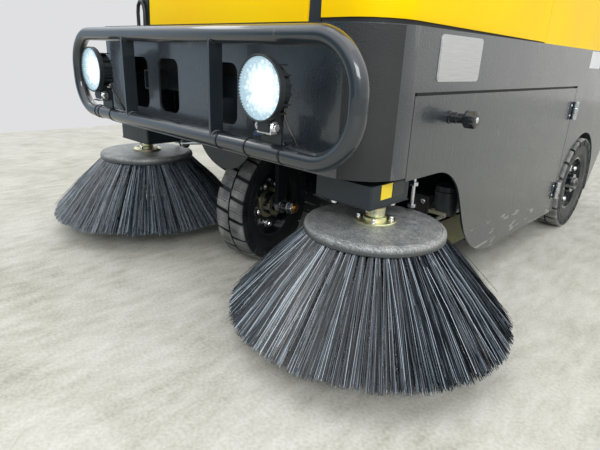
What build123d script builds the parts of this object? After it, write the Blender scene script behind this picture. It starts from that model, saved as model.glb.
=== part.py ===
from build123d import *
import os
from math import cos, radians, sin, sqrt, tan

# Compact three-wheeled ride-on street sweeper, in millimetres, at its real size.
# +Z is up, the nose faces -Y and the driver's left hand is +X. The floor is Z = 0.

os.makedirs("parts", exist_ok=True)

# Body plan and sheet metal
half_width = 532.0
body_length = 1745.0
front_corner_radius = 105.0
rear_corner_radius = 60.0
sheet = 5.0
seat_gap = 0.3

# Heights of the tub, measured from the floor
tub_top_z = 634.5
fascia_bottom_z = 363.0
rear_bottom_z = 343.0
band_bottom_z = 522.0
corner_post_depth = 115.0

# Slots in the front fascia, placed in pairs about the centre plane
slot_offsets = (116.0, 263.0)
slot_width = 94.0
slot_height = 132.0
slot_centre_z = 491.0
slot_corner_radius = 22.0

# Footwell, entrance on the driver's right, and the rear deck
floor_z = 530.0
ledge_depth = 66.0
footwell_end = 640.0
notch_front = 190.0
notch_rear = 630.0
notch_bottom_z = 548.0
notch_corner_radius = 30.0

# Ladder frame under the deck
rail_x = 225.0
rail_width = 40.0
rail_height = 50.0
rail_wall = 4.0
front_member_place = 70.0
middle_member_place = 440.0
axle_member_place = 1090.0
rear_member_gap = 105.0
cross_member_depth = 36.0

# Steering head, fork and the steered front wheel
steer_place = 232.0
steer_angle = 13.0
head_radius = 46.0
crown_gap = 0.3
crown_thickness = 16.0
crown_length = 150.0
fork_leg_width = 48.0
fork_leg_thickness = 12.0
fork_leg_gap = 7.0
axle_radius = 12.0
axle_running_gap = 0.1
axle_end = 104.0
nut_radius = 16.0
nut_height = 14.0

# Tyres and rims, the same on all three wheels
wheel_radius = 168.0
tyre_half_width = 44.0
tyre_shoulder = 5.0
tyre_bead_step = 4.0
tyre_bead_rise = 12.0
tyre_wall_rise = 32.0
bead_radius = 98.0
bead_half_width = 33.0
rim_wall = 6.0
rim_disc_offset = 8.0
rim_disc_thickness = 8.0
rim_hub_radius = 34.0
rim_hub_half_length = 38.0
rim_hole_count = 5
rim_hole_radius = 12.0
rim_hole_circle = 64.0

# Rear axle
rear_axle_place = 1305.0
rear_wheel_x = 498.0
axle_beam = 50.0
axle_beam_half_length = 400.0
hanger_thickness = 12.0
hanger_depth = 70.0
motor_radius = 72.0
motor_half_length = 120.0
hub_side_gap = 1.0

# Rounded bulkhead behind the fascia, in front of the steered wheel
bulkhead_place = 84.0
bulkhead_radius = 125.0
bulkhead_centre_z = 412.0

# Front bumper: one bent tube loop with two upright bars
bumper_reach = 52.0
bumper_half_width = 531.0
bumper_top_z = 611.0
bumper_bottom_z = 400.0
bumper_corner_radius = 92.0
bumper_tube = 35.0
bumper_bar_places = (-218.0, 155.0)
bumper_bar_thickness = 6.0
bumper_bar_depth = 33.0
stub_radius = 12.0
stub_places = (-300.0, 75.0, 300.0)

# Work lamps on the lower bumper tube
lamp_x = 344.0
lamp_z = 519.0
lamp_reach = 97.0
lamp_radius = 58.0
lamp_drum_depth = 11.0
lamp_back_radius = 42.0
lamp_depth = 40.0
lens_radius = 55.0
lens_depth = 4.0
lamp_fin_count = 6
lamp_fin_length = 92.0
lamp_fin_thickness = 3.0
lamp_foot_width = 30.0
lamp_foot_depth = 22.0
lamp_foot_height = 18.0
lamp_strap = 3.0
lamp_strap_depth = 16.0
lamp_strap_gap = 1.0
lamp_plate_shift = 11.5
lamp_plate_width = 57.0
lamp_plate_height = 45.0
lamp_plate_thickness = 5.0
lamp_ear_height = 34.0
lamp_bolt_radius = 7.0
lamp_bolt_reach = 6.0
lead_radius = 2.5
lead_gland_radius = 6.0
lead_gland_length = 4.0
lead_elbow_width = 10.0
lead_elbow_depth = 8.0
lead_elbow_height = 14.0
lead_bend_share = 0.45
lead_route = (
    # beside the lamp's middle, behind the lamp's back, and height
    (22.0, 4.0, 486.0), (22.0, 4.0, 472.0), (27.0, 9.0, 455.0), (32.0, 17.0, 437.0),
    (33.0, 27.0, 419.0), (30.0, 36.0, 404.0), (26.0, 44.0, 395.0), (26.0, 53.0, 395.0),
)

# Side brushes: hub place, disc, bristles and the motor box above
brush_x = 469.0
brush_place = 119.0
disc_radius = 148.0
disc_top_z = 259.0
disc_rim_z = 236.0
disc_edge = (
    # in from the disc's radius, and above its rim
    (6.0, 0.0), (0.0, 3.0), (0.0, 11.0), (3.0, 17.0), (9.0, 20.0), (34.0, 22.0),
)
bristle_tip_radius = 305.0
bristle_tip_z = 57.0
bristle_root_inset = 8.0
bristle_inner_radius = 70.0
bristle_inner_tip_radius = 205.0
hub_flange_radius = 44.0
hub_flange_thickness = 6.0
hub_radius = 20.0
hub_pin_radius = 12.0
motor_box_front = 46.0
motor_box_rear = 180.0
motor_box_bottom_z = 304.0
motor_box_top_z = 350.0
motor_box_edge = 5.0
arm_front = 80.0
arm_thickness = 8.0
arm_inner_x = 405.0
arm_outer_x = 485.0
arm_pivot_place = 262.0
arm_barrel_radius = 12.0
arm_pin_radius = 6.0
arm_ear_thickness = 6.0
arm_ear_gap = 0.5
arm_ear_depth = 36.0
arm_bracket_height = 30.0

# Service doors in the lower sides
door_front = 115.0
door_rear = 1103.0
door_top_z = 516.0
door_step_z = 356.0
door_bottom_z = 93.0
door_step_top = 325.0
door_step_bottom = 465.0
door_step_radius_top = 141.0
door_step_radius_bottom = 230.0
door_gap = 2.0
hinge_radius = 8.0
hinge_height = 56.0
hinge_stand_off = 9.0
hinge_heights = (175.0, 445.0)
hinge_leaf = 26.0
hinge_fixed_leaf = 18.0
hinge_leaf_thickness = 1.5
hinge_leaf_gap = 5.0
hinge_web_lap = 2.0
knob_place = 261.0
knob_z = 471.0
knob_reach = 58.0
knob_head = 22.0
knob_core_radius = 12.5
knob_lobe_circle = 12.0
knob_lobe_radius = 4.2
knob_lobes = 7
knob_stem_radius = 9.0

# Rear quarter panels with the wheel arch and the rising tail
quarter_front = 1106.0
arch_centre = 1327.0
arch_centre_z = 160.0
arch_radius = 195.0
arch_front_bottom_z = 95.0
arch_liner_depth = 76.0
arch_liner_sheet = 3.0
tail_low_z = 108.0
tail_rise = 255.0
tail_run = 177.0

# Main roller brush and its tunnel
roller_place = 840.0
roller_z = 165.0
roller_radius = 160.0
roller_half_length = 400.0
roller_core_radius = 55.0
roller_core_overhang = 6.0
roller_shaft_radius = 15.0
tunnel_radius = 180.0
tunnel_sheet = 5.0
tunnel_half_width = 412.0
tunnel_front = 495.0
tunnel_rear = 1035.0
tunnel_bottom_z = 60.0
tunnel_shoulder_z = 170.0
skirt_thickness = 5.0
skirt_drop_z = 66.0
skirt_top_z = 157.0
hanger_plate = 8.0

# Hopper and its tail door
hopper_half_width = 400.0
hopper_clearance = 88.0
hopper_wall = 4.0
hopper_floor_gap = 60.0
hopper_slope_start = 20.0
hopper_slope_shift = 2.0
hopper_slope_wall = 6.4
hopper_tail_rise = 6.0
hopper_cut = 1.0
hopper_door_half_width = 330.0
hopper_door_bottom_z = 352.0
hopper_door_top_z = 480.0
hopper_door_thickness = 6.0
hopper_door_rim = 12.0
hopper_hinge_radius = 5.0
hopper_hinge_rise = 4.0
hopper_hinge_gap = 0.5
hopper_hinge_x = 220.0
hopper_hinge_web = 6.0
hopper_latch_width = 160.0
hopper_latch_height = 22.0
hopper_latch_rise = 30.0

# Rear bumper and lamps
rear_bumper_z = 506.0
rear_bumper_tube = 30.0
rear_bumper_half_width = 420.0
rear_bumper_reach = 19.0
rear_lamp_x = 425.0
rear_lamp_z = 560.0
rear_lamp_width = 90.0
rear_lamp_height = 44.0
rear_lamp_depth = 14.0
rear_lamp_corner = 6.0

# Yellow body panels
panel = 4.0
cowl_half_width = 306.0
cowl_base = 60.0
cowl_top = 73.0
cowl_bottom_z = 641.0
cowl_top_z = 1003.0
cowl_flange = 28.0
cowl_edge_radius = 12.0
wing_front = 45.0
wing_inner_x = 355.0
wing_front_x = 508.5
wing_end = 725.0
wing_corner_radius = 95.0
wing_front_bottom_z = 646.0
wing_rear_bottom_z = 637.0
wing_top_z = 880.0
wing_ledge = 60.0
wing_edge_radius = 14.0
hood_front = 727.0
hood_seat_z = 880.0
hood_step_foot = 1210.0
hood_step_head = 1236.0
hood_top_z = 950.0
hood_tail = 1690.0
hood_tail_z = 890.0
hood_edge_radius = 22.0
hood_rim_drop = 80.0
hood_rim_band = 1.0
lid_front = 1300.0
lid_rear = 1665.0
lid_half_width = 400.0
lid_overlap = 22.0
lid_thickness = 14.0
lid_corner_radius = 40.0
lid_hinge_radius = 6.0
lid_hinge_gap = 0.5
lid_hinge_x = 260.0
lid_hinge_setback = 4.0
knuckle_length = 28.0
knuckle_gap = 0.5

# Cab frame, roof and windscreen
frame_inner_x = 308.0
frame_tube = 31.0
cross_tube_step = 4.0
pillar_foot = 62.0
pillar_waist = 75.0
pillar_waist_z = 1005.0
pillar_head = 195.0
roof_frame_z = 1962.0
rear_post = 1276.0
roof_half_width = 470.0
roof_front = 130.0
roof_rear = 1350.0
roof_thickness = 8.0
roof_skirt = 46.0
roof_wall = 6.0
roof_corner_radius = 110.0
roof_edge_radius = 24.0
glass_thickness = 5.0
glass_foot_gap = 1.0

# Console, column and steering wheel
console_half_width = 150.0
console_front = 94.0
console_top_z = 985.0
console_head_depth = 106.0
console_knee = 60.0
console_knee_drop = 200.0
column_foot = 215.0
column_foot_z = 900.0
column_tilt = 35.0
column_length = 200.0
column_radius = 24.0
steering_wheel_radius = 170.0
steering_grip_radius = 13.0
spoke_count = 3
spoke_width = 26.0
spoke_thickness = 6.0
wheel_boss_radius = 32.0
wheel_boss_height = 24.0

# Seat and battery
seat_half_width = 240.0
cushion_front = 738.0
cushion_rear = 1146.0
cushion_height = 105.0
back_thickness = 62.0
back_rake = 50.0
back_top_z = 1400.0
back_gap = 1.0
seat_edge_radius = 26.0
battery_half_width = 330.0
battery_front = 800.0
battery_rear = 1170.0
battery_height = 215.0


# Places that follow from the sizes above; the middle of the whole length is Y = 0
front_reach = bristle_tip_radius - brush_place
fascia_y = (front_reach - body_length - rear_bumper_reach) / 2
rear_wall_y = fascia_y + body_length
steer_y = fascia_y + steer_place
rear_axle_y = fascia_y + rear_axle_place
bulkhead_y = fascia_y + bulkhead_place
bumper_y = fascia_y - bumper_reach
lamp_front_y = fascia_y - lamp_reach
brush_y = fascia_y + brush_place
arm_pivot_y = fascia_y + arm_pivot_place
roller_y = fascia_y + roller_place
hopper_front = rear_axle_place + motor_radius + hopper_clearance + axle_beam / 2
cross_member_places = (
    front_member_place, middle_member_place, axle_member_place, body_length - rear_member_gap,
)


def export_piece(part, name):
    part.label = name
    export_step(part, f"parts/{name}.step")


def plan_outline(inset=0.0):
    """Plan of the tub: wide front corners and tight rear corners."""
    with BuildSketch() as plan:
        with Locations((0, (fascia_y + rear_wall_y) / 2)):
            Rectangle(2 * (half_width - inset), rear_wall_y - fascia_y - 2 * inset)
        fillet(plan.vertices().group_by(Axis.Y)[0], front_corner_radius - inset)
        fillet(plan.vertices().group_by(Axis.Y)[-1], rear_corner_radius - inset)
    return plan.sketch


def side_face(points):
    """Closed face in the side view from (distance behind the fascia, height) points."""
    with BuildSketch(Plane.YZ) as face:
        with BuildLine():
            Polyline(*[(fascia_y + place, height) for place, height in points], close=True)
        make_face()
    return face.sketch


# Lines that two pieces share: hinge axes, and where the lamp leads enter the fascia
hopper_hinge_y = rear_wall_y + hopper_hinge_gap + hopper_hinge_radius
hopper_hinge_z = hopper_door_top_z + hopper_hinge_rise
lid_hinge_y = fascia_y + lid_rear + lid_hinge_setback
lid_hinge_z = hood_top_z + lid_hinge_gap + lid_hinge_radius
moving_knuckle_x = -(knuckle_length + knuckle_gap) / 2
fixed_knuckle_x = (knuckle_length + knuckle_gap) / 2
lead_end_x = lamp_x + lead_route[-1][0]
lead_end_z = lead_route[-1][2]

# Chassis tub: fascia, rounded corners, side bands and rear wall in one folded sheet
rear_corner_start = rear_wall_y - rear_corner_radius - fascia_y
with BuildPart() as chassis_tub:
    with BuildSketch(Plane.XY.offset(rear_bottom_z)):
        add(plan_outline())
        add(plan_outline(sheet), mode=Mode.SUBTRACT)
    extrude(amount=tub_top_z - rear_bottom_z)
    extrude(
        side_face([
            (corner_post_depth, 0), (corner_post_depth, band_bottom_z),
            (rear_corner_start, band_bottom_z), (rear_corner_start, 0),
        ]),
        amount=half_width + sheet, both=True, mode=Mode.SUBTRACT,
    )
    extrude(
        side_face([
            (-sheet, 0), (-sheet, fascia_bottom_z),
            (2 * corner_post_depth, fascia_bottom_z), (2 * corner_post_depth, 0),
        ]),
        amount=half_width + sheet, both=True, mode=Mode.SUBTRACT,
    )
    with BuildSketch(Plane.XZ.offset(-fascia_y)):
        slot_places = [side * offset for side in (-1, 1) for offset in slot_offsets]
        with Locations(*[(place, slot_centre_z) for place in slot_places]):
            RectangleRounded(slot_width, slot_height, slot_corner_radius)
    extrude(amount=2 * sheet, both=True, mode=Mode.SUBTRACT)
    with BuildSketch(Plane.YZ.offset(-half_width)):
        notch_height = 2 * (tub_top_z - notch_bottom_z)
        with Locations((fascia_y + (notch_front + notch_rear) / 2, tub_top_z)):
            RectangleRounded(notch_rear - notch_front, notch_height, notch_corner_radius)
    extrude(amount=2 * sheet, both=True, mode=Mode.SUBTRACT)
    with BuildSketch(Plane.XZ.offset(-rear_wall_y)):
        with Locations((0, (hopper_door_bottom_z + hopper_door_top_z) / 2)):
            Rectangle(
                2 * (hopper_door_half_width - hopper_door_rim),
                hopper_door_top_z - hopper_door_bottom_z - 2 * hopper_door_rim,
            )
    extrude(amount=2 * sheet, both=True, mode=Mode.SUBTRACT)
    for side in (-1, 1):
        with Locations((side * hopper_hinge_x + fixed_knuckle_x, hopper_hinge_y, hopper_hinge_z)):
            Cylinder(hopper_hinge_radius, knuckle_length, rotation=(0, 90, 0))
            Box(
                knuckle_length, hopper_hinge_y - rear_wall_y + sheet / 2, hopper_hinge_web,
                align=(Align.CENTER, Align.MAX, Align.CENTER),
            )
    with BuildSketch(Plane.XZ.offset(-fascia_y)):
        with Locations(*[(side * lead_end_x, lead_end_z) for side in (-1, 1)]):
            Circle(lead_gland_radius)
    extrude(amount=lead_gland_length)
export_piece(chassis_tub.part, "chassis_tub")

# Deck: one folded plate, down into the footwell and up again under the hood
deck_front = sheet
deck_rear = rear_wall_y - sheet - fascia_y
deck_top = [
    (deck_front, tub_top_z), (ledge_depth, tub_top_z), (ledge_depth, floor_z),
    (footwell_end, floor_z), (footwell_end, tub_top_z), (deck_rear, tub_top_z),
]
deck_underside = [
    (deck_rear, tub_top_z - sheet), (footwell_end + sheet, tub_top_z - sheet),
    (footwell_end + sheet, floor_z - sheet), (ledge_depth - sheet, floor_z - sheet),
    (ledge_depth - sheet, tub_top_z - sheet), (deck_front, tub_top_z - sheet),
]
with BuildPart() as deck:
    extrude(side_face(deck_top + deck_underside), amount=half_width, both=True)
    with BuildSketch(Plane.XY.offset(floor_z - 2 * sheet)):
        add(plan_outline(sheet))
    extrude(amount=tub_top_z, mode=Mode.INTERSECT)
export_piece(deck.part, "deck")

# Ladder frame: two box rails, cross members, steering head, bulkhead and arm ears
rail_top_z = floor_z - sheet
rail_centre_z = rail_top_z - rail_height / 2
rail_front_y = fascia_y + sheet
rail_rear_y = rear_wall_y - sheet
crown_top_z = wheel_radius * 2 + 12.0 + crown_thickness
head_bottom_z = crown_top_z + crown_gap
arm_pivot_z = motor_box_top_z + arm_thickness / 2
arm_ear_inner = arm_inner_x - arm_ear_gap - arm_ear_thickness
arm_ear_outer = arm_outer_x + arm_ear_gap
with BuildPart() as frame_rails:
    with BuildSketch(Plane.XZ.offset(-rail_front_y)):
        with Locations((-rail_x, rail_centre_z), (rail_x, rail_centre_z)):
            Rectangle(rail_width, rail_height)
            Rectangle(rail_width - 2 * rail_wall, rail_height - 2 * rail_wall, mode=Mode.SUBTRACT)
    extrude(amount=rail_front_y - rail_rear_y)
    for place in cross_member_places:
        with Locations((0, fascia_y + place, rail_centre_z)):
            Box(2 * rail_x - rail_width, cross_member_depth, rail_height)
    with BuildSketch(Plane.XY.offset(head_bottom_z)):
        with Locations((0, steer_y)):
            Circle(head_radius)
    extrude(amount=rail_top_z - head_bottom_z)
    with Locations((0, steer_y, rail_centre_z)):
        Box(2 * rail_x - rail_width, 2 * head_radius, rail_wall * 2)
    with BuildSketch(Plane.XZ.offset(-bulkhead_y)):
        with Locations((0, bulkhead_centre_z)):
            Circle(bulkhead_radius)
        with Locations((0, (bulkhead_centre_z + rail_top_z) / 2)):
            Rectangle(2 * bulkhead_radius, rail_top_z - bulkhead_centre_z)
        with Locations((0, rail_top_z)):
            Rectangle(
                4 * bulkhead_radius, 2 * bulkhead_radius,
                align=(Align.CENTER, Align.MIN), mode=Mode.SUBTRACT,
            )
    extrude(amount=-sheet)
    rail_side_x = rail_x + rail_width / 2
    for side in (-1, 1):
        with Locations((side * rail_side_x, arm_pivot_y, rail_top_z)):
            Box(
                arm_ear_outer + arm_ear_thickness - rail_side_x, arm_ear_depth, arm_bracket_height,
                align=(Align.MIN if side > 0 else Align.MAX, Align.CENTER, Align.MAX),
            )
        for ear_x in (arm_ear_inner, arm_ear_outer):
            with BuildSketch(Plane.YZ.offset(side * (ear_x + arm_ear_thickness / 2))):
                with Locations((arm_pivot_y, arm_pivot_z)):
                    Circle(arm_ear_depth / 2)
                with Locations((arm_pivot_y, (arm_pivot_z + rail_top_z) / 2)):
                    Rectangle(arm_ear_depth, rail_top_z - arm_pivot_z)
            extrude(amount=arm_ear_thickness / 2, both=True)
        with BuildSketch(Plane.YZ.offset(side * arm_ear_inner)):
            with Locations((arm_pivot_y, arm_pivot_z)):
                Circle(arm_pin_radius)
        extrude(amount=side * (arm_ear_outer + arm_ear_thickness - arm_ear_inner))
export_piece(frame_rails.part, "frame_rails")

# Front bumper loop, its two upright bars and the stubs that hold it to the fascia
with BuildPart() as front_bumper:
    with BuildLine(Plane.XZ.offset(-bumper_y)) as loop_line:
        FilletPolyline(
            (-bumper_half_width, bumper_bottom_z), (-bumper_half_width, bumper_top_z),
            (bumper_half_width, bumper_top_z), (bumper_half_width, bumper_bottom_z),
            radius=bumper_corner_radius, close=True,
        )
    with BuildSketch(Plane.YZ):
        with Locations((bumper_y, bumper_top_z)):
            Circle(bumper_tube / 2)
    sweep(path=loop_line.wire())
    for place in bumper_bar_places:
        with Locations((place, bumper_y, (bumper_top_z + bumper_bottom_z) / 2)):
            Box(bumper_bar_thickness, bumper_bar_depth, bumper_top_z - bumper_bottom_z)
    stub_length = fascia_y - bumper_y
    with BuildSketch(Plane.XZ.offset(-bumper_y)):
        with Locations(*[(place, bumper_top_z) for place in stub_places]):
            Circle(stub_radius)
        with Locations(*[(place, bumper_bottom_z) for place in stub_places]):
            Circle(stub_radius)
    extrude(amount=-stub_length)
export_piece(front_bumper.part, "front_bumper")

# Work lamps: finned housings on feet that stand on the lower tube, and their lenses
lamp_plate_bottom_z = bumper_bottom_z + bumper_tube / 2 - 1.0
lamp_plate_top_z = lamp_plate_bottom_z + lamp_plate_height
lamp_foot_bottom_z = lamp_z - lamp_radius - lamp_foot_height
lamp_foot_y = lamp_front_y + lamp_drum_depth
lamp_strap_bottom_z = lamp_foot_bottom_z - lamp_strap_gap - lamp_strap
lamp_strap_width = lamp_foot_width + 2 * (lamp_strap_gap + lamp_strap)
with BuildPart() as headlamp_housings:
    for side in (-1, 1):
        lamp_plane = Plane((side * lamp_x, lamp_front_y, lamp_z), x_dir=(1, 0, 0), z_dir=(0, 1, 0))
        with BuildSketch(lamp_plane):
            Circle(lamp_radius)
        extrude(amount=lamp_drum_depth)
        with BuildSketch(lamp_plane.offset(lamp_drum_depth)):
            Circle(lamp_back_radius)
        extrude(amount=lamp_depth - lamp_drum_depth)
        fin_pitch = lamp_back_radius * 2 / (lamp_fin_count - 1)
        for index in range(lamp_fin_count):
            fin_z = lamp_z - lamp_back_radius + index * fin_pitch
            fin_share = sqrt(1 - ((fin_z - lamp_z) / lamp_radius) ** 2)
            with Locations((side * lamp_x, lamp_foot_y, fin_z)):
                Box(
                    lamp_fin_length * fin_share, lamp_depth - lamp_drum_depth, lamp_fin_thickness,
                    align=(Align.CENTER, Align.MIN, Align.CENTER),
                )
        with BuildSketch(lamp_plane):
            Circle(lens_radius)
        extrude(amount=lens_depth, mode=Mode.SUBTRACT)
        with Locations((side * lamp_x, lamp_foot_y, lamp_foot_bottom_z)):
            Box(
                lamp_foot_width, lamp_foot_depth, lamp_foot_height + lamp_radius / 2,
                align=(Align.CENTER, Align.MIN, Align.MIN),
            )
        strap_y = lamp_foot_y + lamp_foot_depth / 2
        with BuildSketch(Plane.XZ.offset(-strap_y)):
            with Locations((side * lamp_x, lamp_strap_bottom_z)):
                Rectangle(lamp_strap_width, lamp_foot_height, align=(Align.CENTER, Align.MIN))
                Rectangle(
                    lamp_strap_width - 2 * lamp_strap, lamp_foot_height + lamp_strap,
                    align=(Align.CENTER, Align.MIN), mode=Mode.SUBTRACT,
                )
            with Locations((side * lamp_x, lamp_strap_bottom_z + lamp_strap / 2)):
                Rectangle(lamp_strap_width, lamp_strap)
        extrude(amount=lamp_strap_depth / 2, both=True)
        with Locations((side * lamp_x, strap_y, lamp_foot_bottom_z + lamp_foot_height / 2)):
            Cylinder(lamp_bolt_radius, lamp_strap_width + 2 * lamp_bolt_reach, rotation=(0, 90, 0))
        plate_x = side * lamp_x - lamp_plate_shift
        with Locations((plate_x, bumper_y, lamp_plate_bottom_z)):
            Box(
                lamp_plate_width, lamp_plate_thickness, lamp_plate_height,
                align=(Align.CENTER, Align.CENTER, Align.MIN),
            )
        with Locations((plate_x, bumper_y, lamp_strap_bottom_z)):
            Box(
                lamp_foot_width, bumper_y - lamp_foot_y, lamp_strap,
                align=(Align.CENTER, Align.MAX, Align.MAX),
            )
        with Locations((plate_x + lamp_plate_width / 2, bumper_y, lamp_strap_bottom_z)):
            Box(
                lamp_strap, lamp_strap_depth + lamp_plate_thickness, lamp_ear_height,
                align=(Align.MAX, Align.MAX, Align.MIN),
            )
        elbow_x, elbow_back, elbow_z = lead_route[0]
        with Locations((side * lamp_x + elbow_x, lamp_front_y + lamp_depth, elbow_z)):
            Box(
                lead_elbow_width, lead_elbow_depth, lead_elbow_height,
                align=(Align.CENTER, Align.MIN, Align.MIN),
            )
    with BuildSketch(Plane.YZ.offset(-2 * lamp_x)):
        with Locations((bumper_y, bumper_bottom_z)):
            Circle(bumper_tube / 2 + axle_running_gap)
    extrude(amount=4 * lamp_x, mode=Mode.SUBTRACT)
export_piece(headlamp_housings.part, "headlamp_housings")

with BuildPart() as headlamp_lenses:
    with BuildSketch(Plane.XZ.offset(-lamp_front_y)):
        with Locations((-lamp_x, lamp_z), (lamp_x, lamp_z)):
            Circle(lens_radius - seat_gap)
    extrude(amount=-lens_depth)
export_piece(headlamp_lenses.part, "headlamp_lenses")

# Lamp leads: each hangs from the lamp's elbow in one easy bend and enters the fascia
with BuildPart() as lamp_leads:
    for side in (-1, 1):
        route = [
            Vector(side * lamp_x + beside, lamp_front_y + lamp_depth + behind, height)
            for beside, behind, height in lead_route
        ]
        runs = [after - before for before, after in zip(route, route[1:])]
        bends = []
        for before, after in zip(runs, runs[1:]):
            turn = radians(before.get_angle(after))
            bends.append(lead_bend_share * min(before.length, after.length) / tan(turn / 2))
        if side > 0:
            print("lamp lead bend radii", [round(bend, 1) for bend in bends])
        with BuildLine() as lead_line:
            FilletPolyline(*route, radius=bends)
        lead_wire = lead_line.wire()
        with BuildSketch(Plane(lead_wire @ 0, z_dir=lead_wire % 0)):
            Circle(lead_radius)
        sweep(path=lead_wire)
        if side > 0:
            print("lamp lead length", round(lead_wire.length, 1))
export_piece(lamp_leads.part, "lamp_leads")


# Wheels: a tyre and a rim turned about the same axle
def wheel_section(centre, outward):
    """Plane through the axle, x along it towards the outside and y straight up."""
    return Plane(centre, x_dir=outward, z_dir=Vector(*outward).cross(Vector(0, 0, 1)))


def make_tyre(centre, outward):
    with BuildPart() as tyre:
        with BuildSketch(wheel_section(centre, outward)):
            with BuildLine():
                half_section = [
                    (bead_half_width, bead_radius),
                    (tyre_half_width - tyre_bead_step, bead_radius + tyre_bead_rise),
                    (tyre_half_width, bead_radius + tyre_wall_rise),
                    (tyre_half_width, wheel_radius - tyre_shoulder),
                    (tyre_half_width - tyre_shoulder, wheel_radius),
                ]
                mirror_section = [(-along, radius) for along, radius in reversed(half_section)]
                Polyline(*half_section, *mirror_section, close=True)
            make_face()
        revolve(axis=Axis(centre, outward))
    return tyre.part


def make_rim(centre, outward):
    rim_radius = bead_radius - seat_gap
    section = wheel_section(centre, outward)
    with BuildPart() as rim:
        with BuildSketch(section):
            with Locations((0, rim_radius - rim_wall / 2)):
                Rectangle(2 * bead_half_width, rim_wall)
            disc_height = rim_radius - rim_wall / 2 - axle_radius
            with Locations((rim_disc_offset, axle_radius + disc_height / 2)):
                Rectangle(rim_disc_thickness, disc_height)
            with Locations((0, rim_hub_radius / 2)):
                Rectangle(2 * rim_hub_half_length, rim_hub_radius)
            with Locations((0, 0)):
                Rectangle(
                    4 * rim_hub_half_length, 2 * (axle_radius + axle_running_gap),
                    mode=Mode.SUBTRACT,
                )
        revolve(axis=Axis(centre, outward))
        with BuildSketch(Plane(centre, x_dir=(0, 0, 1), z_dir=outward)):
            with PolarLocations(rim_hole_circle, rim_hole_count):
                Circle(rim_hole_radius)
        extrude(amount=4 * rim_disc_thickness, both=True, mode=Mode.SUBTRACT)
    return rim.part


steer_axle = (cos(radians(steer_angle)), sin(radians(steer_angle)), 0)
front_centre = (0, steer_y, wheel_radius)
wheel_table = [
    # name, centre, direction of the outer face
    ("front", front_centre, steer_axle),
    ("rear_left", (rear_wheel_x, rear_axle_y, wheel_radius), (1, 0, 0)),
    ("rear_right", (-rear_wheel_x, rear_axle_y, wheel_radius), (-1, 0, 0)),
]
for name, centre, outward in wheel_table:
    export_piece(make_tyre(centre, outward), f"{name}_tyre")
    export_piece(make_rim(centre, outward), f"{name}_rim")

# Steered fork: crown plate, two legs, and the axle with a nut at each end
steer_plane = Plane(front_centre, x_dir=steer_axle, z_dir=(0, 0, 1))
leg_inner = tyre_half_width + fork_leg_gap
crown_z = crown_top_z - wheel_radius
with BuildPart(steer_plane) as steering_fork:
    with Locations((0, 0, crown_z)):
        Box(
            2 * (leg_inner + fork_leg_thickness), crown_length, crown_thickness,
            align=(Align.CENTER, Align.CENTER, Align.MAX),
        )
    for side in (-1, 1):
        with Locations((side * (leg_inner + fork_leg_thickness / 2), 0, crown_z)):
            Box(
                fork_leg_thickness, fork_leg_width, crown_z,
                align=(Align.CENTER, Align.CENTER, Align.MAX),
            )
        with Locations((side * (leg_inner + fork_leg_thickness / 2), 0, 0)):
            Cylinder(fork_leg_width / 2, fork_leg_thickness, rotation=(0, 90, 0))
        with Locations((side * (axle_end - nut_height), 0, 0)):
            Cylinder(nut_radius, nut_height, rotation=(0, 90, 0))
    Cylinder(axle_radius, 2 * axle_end, rotation=(0, 90, 0))
export_piece(steering_fork.part, "steering_fork")

# Rear axle: square beam, stub axles through the rims and hangers up to the rails
hanger_bottom_z = wheel_radius + axle_beam / 2
stub_end = rear_wheel_x + rim_hub_half_length + nut_height
with BuildPart() as rear_axle:
    with Locations((0, rear_axle_y, wheel_radius)):
        Box(2 * axle_beam_half_length, axle_beam, axle_beam)
        Cylinder(axle_radius, 2 * stub_end, rotation=(0, 90, 0))
    inner_end = rear_wheel_x - rim_hub_half_length - hub_side_gap
    for side in (-1, 1):
        with BuildSketch(Plane.YZ.offset(side * axle_beam_half_length)):
            with Locations((rear_axle_y, wheel_radius)):
                Circle(2 * axle_radius)
        extrude(amount=side * (inner_end - axle_beam_half_length))
        with BuildSketch(Plane.YZ.offset(side * (rear_wheel_x + rim_hub_half_length + hub_side_gap))):
            with Locations((rear_axle_y, wheel_radius)):
                Circle(nut_radius)
        extrude(amount=side * (nut_height - hub_side_gap))
        with Locations((side * rail_x, rear_axle_y, wheel_radius)):
            Box(
                hanger_thickness, hanger_depth, rail_top_z - rail_height - wheel_radius,
                align=(Align.CENTER, Align.CENTER, Align.MIN),
            )
export_piece(rear_axle.part, "rear_axle")

# Drive motor clamped to the middle of the axle beam, one plain drum
with BuildPart() as drive_motor:
    with Locations((0, rear_axle_y, wheel_radius)):
        Cylinder(motor_radius, 2 * motor_half_length, rotation=(0, 90, 0))
        Box(3 * motor_half_length, axle_beam, axle_beam, mode=Mode.SUBTRACT)
export_piece(drive_motor.part, "drive_motor")


# Brush tunnel over the main roller, its end plates, hangers and wear skirts
def tunnel_outline(inset):
    """Side view of the tunnel: a round roof with sloping aprons fore and aft."""
    with BuildSketch(Plane.YZ) as outline:
        with Locations((roller_y, roller_z)):
            Circle(tunnel_radius + tunnel_sheet - inset)
        shoulder = tunnel_radius + tunnel_sheet - inset
        with BuildLine():
            Polyline(
                (fascia_y + tunnel_front + inset, tunnel_bottom_z),
                (fascia_y + tunnel_front + inset, tunnel_shoulder_z - inset),
                (roller_y, roller_z + shoulder),
                (fascia_y + tunnel_rear - inset, tunnel_shoulder_z - inset),
                (fascia_y + tunnel_rear - inset, tunnel_bottom_z),
                close=True,
            )
        make_face()
        with Locations((roller_y, tunnel_bottom_z)):
            Rectangle(
                4 * tunnel_radius, 4 * tunnel_radius,
                align=(Align.CENTER, Align.MAX), mode=Mode.SUBTRACT,
            )
    return outline.sketch


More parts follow.
